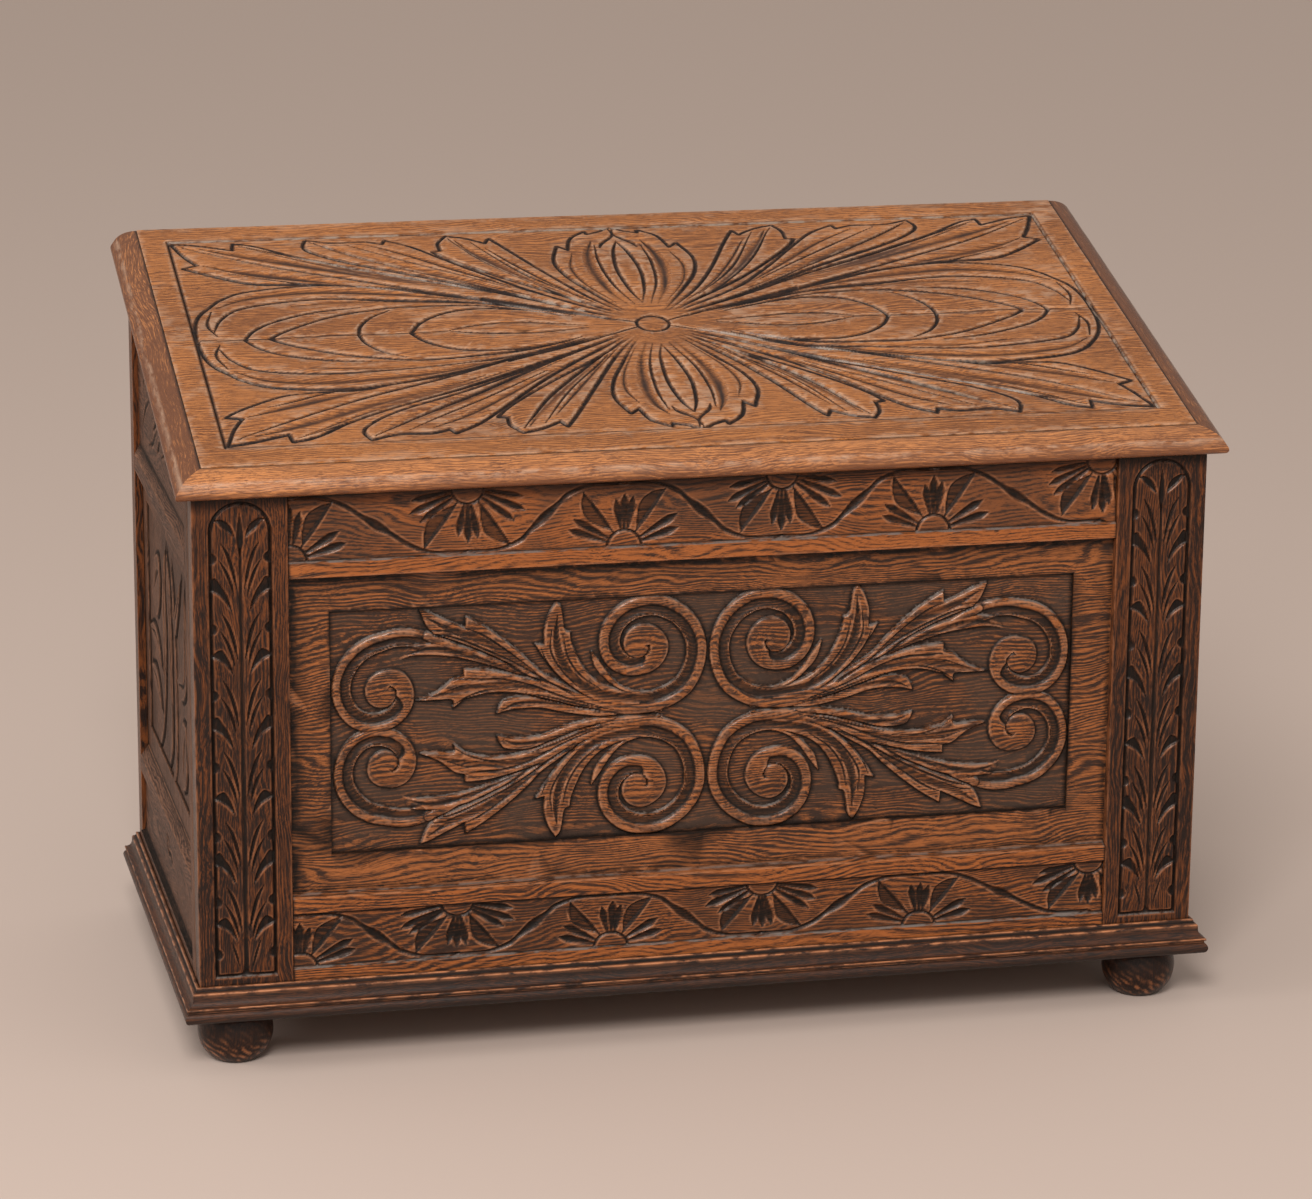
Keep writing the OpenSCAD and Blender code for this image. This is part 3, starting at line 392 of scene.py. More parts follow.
    def strand(self, points, top, drop):
        """Leaves a round strand standing along a smooth line of points (x, y, half width): its crown
        lies at depth top and its sides fall by drop before they meet the ground."""
        line = smooth_line(points)
        here = self.near(line, line[:, 2].max() + 1)
        gap, _, _, half = self.measure(here, line)
        across = gap / np.maximum(half, 0.05)
        foot = np.clip((across - 0.86) / 0.14, 0, 1)
        level = top + drop * across ** 2 + (self.ground - top - drop) * foot
        self.depth[here] = np.where(across < 1, np.minimum(self.depth[here], level), self.depth[here])
        self.ink[here] *= across > 0.9

    def face(self):
        """The depths and the ink on the grid of the face."""
        return self.depth.reshape(self.shape), self.ink.reshape(self.shape)


def stile_leaves(u, v, middle, foot, top, half):
    """The strip of overlapping leaves on a stile: tier on tier of crescent cuts, edge nicks and fine
    veins on both sides of a hanging midrib, inside a V-cut border with a round head."""
    grid_x, grid_y = np.meshgrid(u - middle, v - foot)
    strip = Carving(np.abs(grid_x), grid_y, 0.0)
    head = top - foot - half
    nick = ((half + 1.5, 2.4), (half - 1.6, 4.4), (half + 1.5, 2.8))
    tips = (47, 103, 163, 227, 292, 352, 415)
    for tier, tip in enumerate(tips):
        if tier == len(tips) - 1:
            fin = [(22.8, 0, 1), (17, 1), (12.5, -1), (9.2, -3.5), (5.8, -9), (4.2, -17, 1), (9.2, -13),
                   (14.7, -8.4), (20, -2.2)]
        elif tier % 2:
            fin = [(half + 1, 0, 1), (half, 9), (half - 3, 12.4, 1), (half - 5.5, 11), (half - 9, 5.6),
                   (12.6, -1.3), (9.2, -10.3), (7.3, -20.4, 1), (10.3, -16), (14.7, -9.2), (20.1, -3.6)]
        else:
            fin = [(half + 1, 0, 1), (half - 2, 4.5), (half - 5, 6.6), (half - 8.6, 7.4),
                   (half - 12, 4.0), (10, -4), (7.4, -14), (6.8, -18.6, 1), (9.6, -13), (16, -5.6),
                   (22.6, -1.5)]
        strip.sink([(p[0], tip + p[1], *p[2:]) for p in fin], 2.4, 1.2, 1.0)
        if tier:
            for vein, deep in (([(16.7, 20, 0.4), (11, 31, 1.8), (6.5, 46, 1.8), (3.4, 62, 0.3)], 2.0),
                               ([(18, 36, 0.4), (12.5, 46, 1.6), (8.5, 57, 1.5), (6, 68, 0.3)], 1.9)):
                strip.gouge([(a, tip - b, wide) for a, b, wide in vein], deep, 1.5)
            strip.gouge([(a, tip - b, wide) for (a, wide), b in zip(nick, (30, 34, 38.5))], 2.0, 3.0)
    strip.gouge([(half + 1.5, 15.5, 2.4), (half - 1.4, 20, 4.4), (half + 1.5, 24.5, 2.6)], 2.0, 3.0)
    strip.gouge([(13, 32, 0.4), (9, 20, 1.3), (6, 8, 0.4)], 1.4, 1.2)
    strip.gouge([(0, 3, 3.0), (0, 30, 2.2), (0, 120, 2.4), (0, 260, 2.2), (0, 330, 2.0), (0, 388, 1.4)],
                1.6, 1.7, 0.75)
    strip.gouge([(0, 382, 0.5), (0, 396, 3.4), (0, 409, 2.4), (0, 421, 0.4)], 2.0, 1.5)
    # Each tier of leaves swells toward its lower lip, so that it seems to lie over the next
    tiers = np.interp(strip.y, [0] + [tip - 14 for tip in tips], np.arange(len(tips) + 1))
    strip.depth += 0.35 + 0.35 * np.cos(2 * pi * (tiers + 0.30 * strip.x / half))
    # Outside its border the stile is flat; the border is a V-cut with a round head
    out_of_head = np.hypot(strip.x, np.maximum(strip.y - head, 0)) - half
    outside = np.maximum(np.where(strip.y > head, out_of_head, strip.x - half), -strip.y)
    strip.depth *= np.clip(-outside / 1.5, 0, 1)
    strip.depth += 2.6 * np.clip(1 - (np.abs(outside) / 1.9) ** 1.4, 0, 1)
    strip.ink *= outside < 0
    strip.ink = np.maximum(strip.ink, np.clip(3.1 - 1.5 * np.abs(outside), 0, 1))
    strip.sink([(-0.5, 0.5, 1), (6, 0.5, 1), (-0.5, 6.5, 1)], 1.2)
    return strip.face()


def fill_mesh(name, points, corners, starts, colours, material):
    """An object of the scene from whole arrays: points in millimetres, the point of every polygon
    corner, the polygons' first corners, and each point's carving colour."""
    mesh = bpy.data.meshes.new(name)
    mesh.vertices.add(len(points))
    mesh.vertices.foreach_set("co", (points * MM).ravel().astype(np.float32))
    mesh.loops.add(len(corners))
    mesh.loops.foreach_set("vertex_index", corners.astype(np.int32))
    mesh.polygons.add(len(starts))
    mesh.polygons.foreach_set("loop_start", starts.astype(np.int32))
    mesh.update(calc_edges=True)
    paint = np.zeros((len(points), 4), np.float32)
    paint[:, :colours.shape[1]] = colours
    mesh.color_attributes.new("carving", "FLOAT_COLOR", "POINT").data.foreach_set("color", paint.ravel())
    mesh.materials.append(material)
    made = bpy.data.objects.new(name, mesh)
    scene.collection.objects.link(made)
    return made


def board(name, u, v, carved, thickness, place, material, cell=1.0, ground=(0.0, 3.0), most=None,
          dirt_and_shade=0.0, ease=0.9, lit=(0, 1)):
    """A closed board. Its face is a grid of the lines u and v in millimetres, cut in by the carved
    depth at each crossing; place(u, v, depth) gives a point of the chest in millimetres, and the
    back lies at depth = thickness. Its edges are rounded over ease. The carving attribute compares
    the carved depth with its own blur: proud points and worn edges are red; hollow ones and those
    given to darken, which carry wax, joint soiling and painted shade, are green; the place between
    the two ground depths is blue, and so is the dull back. Alpha marks the walls of cuts that face
    the way lit, which take a painted highlight where no wax stays."""
    gap = np.minimum(*np.meshgrid(np.minimum(u - u[0], u[-1] - u), np.minimum(v - v[0], v[-1] - v)))
    depth = carved + ease - np.sqrt(ease ** 2 - np.clip(ease - gap, 0, ease) ** 2)
    rows, cols = depth.shape
    grid_u, grid_v = np.meshgrid(u, v)
    index = np.arange(rows * cols).reshape(rows, cols)
    rim = np.concatenate([index[0, :-1], index[:-1, -1], index[-1, :0:-1], index[:0:-1, 0]])
    rim_u, rim_v = grid_u.ravel()[rim], grid_v.ravel()[rim]
    face = np.stack(place(grid_u, grid_v, depth), -1).reshape(-1, 3)
    back = np.stack(place(rim_u, rim_v, np.full(len(rim), float(thickness))), -1)
    back_index = rows * cols + np.arange(len(rim))
    quads = np.stack([index[:-1, :-1], index[:-1, 1:], index[1:, 1:], index[1:, :-1]], -1).reshape(-1, 4)
    sides = np.stack([np.roll(rim, -1), rim, back_index, np.roll(back_index, -1)], -1)
    mid_u, mid_v = u[len(u) // 2], v[len(v) // 2]
    origin, out_of_wood, along_u, along_v = (np.array(place(mid_u + a, mid_v + b, c), float)
                                             for a, b, c in ((0, 0, 0), (0, 0, -1), (1, 0, 0), (0, 1, 0)))
    turn = 1 if np.dot(np.cross(along_u - origin, along_v - origin), out_of_wood - origin) > 0 else -1
    corners = np.concatenate([quads[:, ::turn].ravel(), sides[:, ::turn].ravel(), back_index[::-turn]])
    starts = np.arange(0, 4 * (len(quads) + len(sides)) + 1, 4)
    fine = blurred(carved, 2, max(1, round(1.2 / cell)))
    broad = blurred(carved, 2, max(1, round(3.0 / cell)))
    colours = np.zeros((rows * cols + len(rim), 4))
    # Painted highlight on cut walls that face the way lit, which also takes the wax off them
    rise = np.gradient(carved, u, axis=1) * lit[0] + np.gradient(carved, v, axis=0) * lit[1]
    facing = np.clip((rise - 0.65) / 0.6, 0, 1) * np.clip(gap / 2.0, 0, 1) * (rise < 8)
    proud = np.maximum(np.clip((fine - carved - 0.05) / 0.30, 0, 1),
                       0.8 * np.clip((1.9 - gap) / 1.3, 0, 1)) * (1 - dirt_and_shade)
    hollow = np.maximum(np.clip((carved - fine - 0.05) / 0.25, 0, 1),
                        0.8 * np.clip((carved - broad - 0.1) / 0.7, 0, 1))
    # The given darkening adds wax, joint soiling and painted shade
    hollow = np.maximum(hollow, dirt_and_shade)
    facing *= np.clip(1.6 * hollow, 0, 0.85)
    hollow *= 1 - facing
    sunk = np.clip((carved - ground[0]) / (ground[1] - ground[0]), 0, 1)
    colours[:rows * cols] = np.stack([proud, hollow, sunk, facing], -1).reshape(-1, 4)
    colours[rows * cols:, 2] = 0.8
    made = fill_mesh(name, np.concatenate([face, back]), corners, starts, colours, material)
    if most and 2 * len(quads) > most:
        thin = made.modifiers.new("thin", "DECIMATE")
        thin.ratio = most / (2 * len(quads) + 2 * len(sides))
        lean = bpy.data.meshes.new_from_object(made.evaluated_get(bpy.context.evaluated_depsgraph_get()))
        made.modifiers.remove(thin)
        made.data = lean
    made.data.shade_smooth()
    made.data.set_sharp_from_angle(angle=radians(50))
    return made


def rippled(u, v, seed, size):
    """A smooth surface of about unit height, as hand work leaves: six waves in set directions."""
    draw = np.random.default_rng(seed)
    field = np.zeros((len(v), len(u)))
    grid_u, grid_v = np.meshgrid(u, v)
    for _ in range(6):
        turn, phase, stretch = draw.uniform(0, pi), draw.uniform(0, 2 * pi), draw.uniform(0.6, 1.5)
        field += np.sin((grid_u * cos(turn) + grid_v * sin(turn)) * stretch * 2 * pi / size + phase)
    return field / 6 ** 0.5


def lines(low, high, cell, edge=0.9, stops=()):
    """Grid lines from low to high, about a cell apart, with close ones at each rounded edge and at
    both sides of each stop, where the face steps."""
    rim = np.array([0, 0.12, 0.35, 0.7, 1.1, 1.5]) * edge
    marks = [low] + sorted(stops) + [high]
    runs = []
    for a, b in zip(marks[:-1], marks[1:]):
        first = a + (rim if a == low else np.array([0.05, 0.5]))
        last = b - (rim[::-1] if b == high else np.array([0.5, 0.05]))
        count = max(2, round((last[0] - first[-1]) / cell) + 1)
        runs += [first, np.linspace(first[-1], last[0], count)[1:-1], last]
    return np.concatenate(runs)


def planed(u, v, seeds, sizes, depths=(0.05, 0.08)):
    """The slight hollows that a hand plane leaves: ripples of two sizes, each with its depth."""
    waves = (rippled(u, v, seed, size) * deep for seed, size, deep in zip(seeds, sizes, depths))
    return np.clip(sum(waves), 0, 1)


def inside(line, low, high):
    """Which grid lines belong to a field that steps down at low and high."""
    return (line > low - 0.02) & (line < high + 0.02)


def let_in(rows, columns, found):
    """Depth and ink of a whole face: what was found for its field, at the rows and columns that
    are true, and nought elsewhere."""
    parts = np.zeros((2, len(rows), len(columns)))
    for part, values in zip(parts, found):
        part[np.ix_(rows, columns)] = values
    return parts


def corner_dirt_and_shade(u, v, u_marks=(), v_marks=(), reach=2.6):
    """Darkening where a face meets a wall, for wax and soiling in joints and for painted shade beside
    walls and under the lid: at each mark (place, way) it lies thick and thins out over reach in the
    way's direction."""
    shares = []
    for line, marks in ((u, u_marks), (v, v_marks)):
        away = [(line - place) * way for place, way in marks]
        thick = [np.clip(1.2 - a / reach, 0, 1) * (a > -0.1) for a in away]
        shares.append(np.max([np.zeros(len(line))] + thick, 0))
    return np.maximum(shares[0][None, :], shares[1][:, None])


def wood_piece(made, name, body="carcass"):
    """The dressed piece takes the place of its CAD node, its body and its finish."""
    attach(made, body)
    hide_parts(name)
    return made


STAIN = {"pale": (0.36, 0.112, 0.030), "dark": (0.034, 0.017, 0.012), "rubbed": (0.46, 0.19, 0.085)}
DEEP_STAIN = {"pale": (0.165, 0.050, 0.015), "dark": (0.018, 0.010, 0.008),
              "rubbed": (0.30, 0.105, 0.038)}
stile_oak = oak_material("stile_oak", "z", (0.3, 1.7, 0.4), cover=0.42, figure=0.6, **DEEP_STAIN)
# The carcass: its faces, the sloping top edge of its front, and the rows below which all is level
FRONT_Y, REAR_Y, SIDE_X = -224.82, 225.18, 460.0
BASE_Z, FRONT_TOP, LEVEL_TOP = 48.5, 525.5, 521.0
SLOPE = radians(15.6)
STILE_IN, FRONT_THICK = 376.5, 22.0
LEAF_FOOT, LEAF_TOP, LEAF_HALF = 88, 517.5, 26
# How far the painted shadow under the lid's overhang reaches down the front
LID_SHADE = 14.0
cell = 1.2


def front_place(a, b, d):
    """A point of the front's boards. Their tops follow the slope of the lid."""
    above = np.where(b > LEVEL_TOP, (b - LEVEL_TOP) / (FRONT_TOP - LEVEL_TOP), 0)
    return a, FRONT_Y + d, b + d * np.tan(SLOPE) * above


for side, name in ((-1, "front_left_stile"), (1, "front_right_stile")):
    u = lines(*sorted((side * SIDE_X, side * STILE_IN)), cell * 0.75)
    v = lines(BASE_Z, FRONT_TOP, cell * 0.75)
    depth, ink = stile_leaves(u, v, side * (SIDE_X + STILE_IN) / 2, LEAF_FOOT, LEAF_TOP, LEAF_HALF)
    depth += planed(u, v, (5 + side, 8 + side), (9.0, 60.0), (0.05, 0.06))
    # Painted shadow under the lid's overhang along the stile's top
    dirt_and_shade = np.maximum(ink, corner_dirt_and_shade(u, v, (), ((FRONT_TOP, -1),), LID_SHADE))
    stile = board(name + "_carved", u, v, depth, FRONT_THICK, front_place, stile_oak, cell * 0.75,
                  ground=(3.0, 9.0), most=190000, dirt_and_shade=dirt_and_shade)
    wood_piece(stile, name)

# The two front rails: level oak boards tenoned into the stiles. Their band lies a little below the
# plain strip beside the panel and carries a running vine with flowers, cut in with gouges. The lower
# rail's strip is chamfered down to the panel.
rail_oak = oak_material("rail_oak", "x", (1.1, 0.2, 2.3), cover=0.64, ground=0.65, polish=0.2,
                        dust_and_shade=(0.040, 0.025, 0.019), **STAIN)
low_rail_oak = oak_material("low_rail_oak", "x", (3.1, 0.7, 1.3), cover=0.52, ground=0.65,
                            dust_and_shade=(0.036, 0.020, 0.014), **STAIN)
RAIL_END, RAIL_DIRT = 376.4, 2.2
TOP_RAIL_Z, TOP_BAND = 447.5, (461, 521.5)
LOW_RAIL_TOP, LOW_BAND, CHAMFER_Z, CHAMFER_RUN, CHAMFER_DEEP = 159.2, (90, 141.5), 155, 4.2, 8.0


def vine_band(u, v, band_rows, rising, hanging, ground=3.0):
    """A rail's band: it lies a little below the strips, and a thin vine runs over it between
    half flowers that rise from its foot and hang from its top. All of it is cut in, nothing stands."""
    foot, height = band_rows[0], band_rows[1] - band_rows[0]
    grid_x, grid_y = np.meshgrid(u, v - foot)
    band = Carving(grid_x, grid_y, 0.0)
    band.depth[:] = ground
    draw = np.random.default_rng(int(height))
    span = height / 60.0

    def ray(middle, way, turn, away, beside=0.0):
        """Place in the flower at middle, which rises where way is 1: turn from its upright in
        degrees, away from its centre, and beside that ray."""
        x, y = sin(radians(turn)), cos(radians(turn))
        base = 0 if way > 0 else height
        return middle + away * x + beside * y, base + way * span * (away * y - beside * x)

    for way, places, radius in ((1, rising, 15.6), (-1, hanging, 14.6)):
        for middle in places:
            at = partial(ray, middle, way)
            band.gouge([(*at(turn, radius), 1.7) for turn in range(-90, 91, 15)], 1.9, 1.0)
            petals = [(-10, 47, 4.2), (0.5, 51, 4.5), (10.5, 47, 4.2)]
            outer = ((54, 54, 3.7), (66, 58, 3.8), (78, 52, 3.5))
            if way > 0:
                outer = ((58, 54, 4.0), (72, 52, 4.0))
            petals += [(side * turn, far, half) for side in (-1, 1) for turn, far, half in outer]
            for turn, far, half in petals:
                turn, far = turn + draw.uniform(-1.5, 1.5), far + draw.uniform(-3, 2)
                band.gouge([(*at(turn, radius + 2.5), 1.6), (*at(turn, 0.45 * far + 8), half * 0.85),
                            (*at(turn, far - 9), half), (*at(turn, far - 1), 0.8)], 2.6, 2.4)
            for turn in (-36, 36):
                tip = 65 + draw.uniform(-2, 2)
                band.sink([(*at(turn, radius + 3), 1), at(turn, 28, -7.0), at(turn, 42, -12.5),
                           at(turn, 55, -8.5), (*at(turn, tip), 1), at(turn, 40)], 1.9, 1.2, 0.75)
                band.gouge([(*at(turn, radius + 2), 1.0), (*at(turn, 36), 2.3), (*at(turn, tip), 0.6)],
                           1.5, 1.0)
    # The vine swings from flower to flower and swells to a bud on each slope
    stops = sorted([(x, 1) for x in rising] + [(x, -1) for x in hanging])
    for (start, way), (end, _) in zip(stops[:-1], stops[1:]):
        low, high = (height - 3, 3.5) if way > 0 else (3.5, height - 3)
        first, last, rise = start + 38, end - 42, high - low
        lean = rise * 0.74 / (last - first - 16)
        bud_x, bud_y = (first + last) / 2, (low + high) / 2
        band.gouge([(start, low, 1.3), (first - 12, low, 1.8), (first + 8, low + rise * 0.13, 2.5),
                    (bud_x - 13, bud_y - 13 * lean, 2.5), (bud_x, bud_y, 4.8),
                    (bud_x + 13, bud_y + 13 * lean, 2.5), (last - 8, high - rise * 0.13, 2.5),
                    (last + 12, high, 1.8), (end, high, 1.3)], 2.7, 1.8)
    for places, base in ((hanging, 0), (rising, height)):
        for middle in places:
            band.gouge([(middle - 8, base, 1.0), (middle, base, 5.2), (middle + 8, base, 1.0)], 1.6, 2.0)
    return band.face()


def rail_strip(v, low, high, wall=0.8):
    """1 on the rows of the band between low and high, 0 on the strips, with steep walls."""
    return np.clip((v - low) / wall, 0, 1) * np.clip((high - v) / wall, 0, 1)


u = lines(-RAIL_END, RAIL_END, cell)
rail_ends = ((-RAIL_END, 1), (RAIL_END, -1))
v = lines(TOP_RAIL_Z, FRONT_TOP, cell * 0.8, stops=TOP_BAND)
share = rail_strip(v, *TOP_BAND)[:, None]
depth, ink = (share * part for part in vine_band(u, v, TOP_BAND, (-375, -78, 205), (-218, 65, 362)))
depth += planed(u, v, (21, 22), (11.0, 70.0))
dirt_and_shade = np.maximum(ink, corner_dirt_and_shade(u, v, rail_ends, ((TOP_BAND[0], 1), (FRONT_TOP, -1)), RAIL_DIRT))
# Painted shadow under the lid's overhang along the rail's top
dirt_and_shade = np.maximum(dirt_and_shade, corner_dirt_and_shade(u, v, (), ((FRONT_TOP, -1),), LID_SHADE))
rail = board("front_top_rail_carved", u, v, depth, FRONT_THICK, front_place, rail_oak, cell,
             ground=(0.5, 2.6), most=190000, dirt_and_shade=dirt_and_shade)
wood_piece(rail, "front_top_rail")

v = lines(BASE_Z, LOW_RAIL_TOP, cell * 0.8, stops=(*LOW_BAND, CHAMFER_Z))
share = rail_strip(v, *LOW_BAND)[:, None]
depth, ink = (share * part for part in vine_band(u, v, LOW_BAND, (-370, -88, 200), (-228, 52, 362)))
depth += np.clip((v - CHAMFER_Z) / CHAMFER_RUN, 0, 1)[:, None] * CHAMFER_DEEP
depth += planed(u, v, (23, 24), (11.0, 70.0))
dirt_and_shade = np.maximum(ink, corner_dirt_and_shade(u, v, rail_ends, ((LOW_BAND[0], 1), (LOW_BAND[1], -1)), RAIL_DIRT))
rail = board("front_bottom_rail_carved", u, v, depth, FRONT_THICK, front_place, low_rail_oak, cell,
             ground=(0.5, 2.6), most=190000, dirt_and_shade=dirt_and_shade)
wood_piece(rail, "front_bottom_rail")

# The front panel: one board let into grooves of the frame, with a plain border round a field whose
# ground is sunk four millimetres. Scrolls and feathered leaves stand in the field, carved from the
# board itself.
panel_oak = oak_material("panel_oak", "x", (0.4, 3.1, 1.9), pale=(0.36, 0.120, 0.036),
                         dark=(0.038, 0.019, 0.013), rubbed=(0.47, 0.215, 0.11),
                         dust_and_shade=(0.062, 0.040, 0.029), cover=0.46, rubbing=0.7, ground=0.8, gloss=0.34,
                         polish=0.2)
PANEL_Y, PANEL_THICK, PANEL_HALF, PANEL_ROWS = -216.62, 11.9, 380, (155.5, 451)
FIELD_HALF, FIELD_ROWS, DRAWN_FROM = 340, (192.2, 414.5), 152.35
OPENING_HALF, OPENING_ROWS = 376.5, (159.2, 447.5)


def scroll(carving, eye, turns, radii, bead, hollow, ridge=2.0):
    """A scroll that winds in anticlockwise. Its outer edge lies at the given radii for the given
    turns in degrees from straight down; inward of it come a round bead, a hollow and a thin ridge.
    The last turn's bead swells into the domed eye, and the hollow runs out in a comma."""
    line = np.array([[eye[0] - radii[0], eye[1] - radii[0]], [eye[0] + radii[0], eye[1] + radii[0]]])
    here = carving.near(line, 1)
    x, y = carving.x[here] - eye[0], carving.y[here] - eye[1]
    away = np.hypot(x, y)
    first = np.degrees(np.arctan2(x, -y)) % 360
    level = np.full(len(here), np.nan)
    begun = np.ones(len(here))
    black = np.zeros(len(here))
    for turn in (first, first + 360, first + 720):
        there = (turn >= turns[0]) & (turn <= turns[-1])
        edge = np.interp(turn, turns, radii)
        inner = np.where(turn + 360 <= turns[-1], np.interp(turn + 360, turns, radii), 0)
        swell = np.clip((turn - turns[-1] + 450) / 90, 0, 1)
        width = bead + (2 * edge - bead) * swell * swell * (3 - 2 * swell)
        inward = edge - away
        round_top = 0.3 + 2.2 * ((inward - width / 2) / (width / 2)) ** 2
        round_top += (carving.ground - 2.5) * np.clip(1 - inward / 1.1, 0, 1)
        part = np.clip((inward - width) / hollow, 0, 1)
        cut = 3.1 + 0.7 * (1 - (2 * part - 1) ** 2) - 1.4 * part ** 2
        beside = np.abs(inward - width - hollow - ridge / 2)
        lip = 1.5 + (carving.ground - 1.5) * np.clip(beside * 2 / ridge - 0.3, 0, 1)
        deep = np.where(inward < width, round_top, np.where(inward < width + hollow, cut, lip))
        ours = there & (inward > 0) & (away >= inner)
        level = np.where(ours, deep, level)
        begun = np.where(ours, np.clip((turn - turns[0]) / 14, 0, 1), begun)
        crease = np.clip(2 - np.abs(inward - width - 0.4) / 0.9, 0, 1)
        foot = np.clip(2 - np.abs(inward - width - hollow - ridge - 0.6) / 0.8, 0, 1)
        foot *= inner < edge - width - hollow
        # The crease and the foot are black cuts, and the whole hollow is painted 0.6 dark as shade
        shade = np.maximum(np.maximum(crease, foot), 0.6 * (inward > width) * (inward < width + hollow))
        black = np.where(ours, np.maximum(shade, np.clip(1.6 - inward / 0.8, 0, 1)), black)
    old = carving.depth[here]
    carving.ink[here] = np.where(np.isnan(level), carving.ink[here], black)
    carving.depth[here] = np.where(np.isnan(level), old,
                                   old + begun * (np.minimum(level, carving.ground) - old))


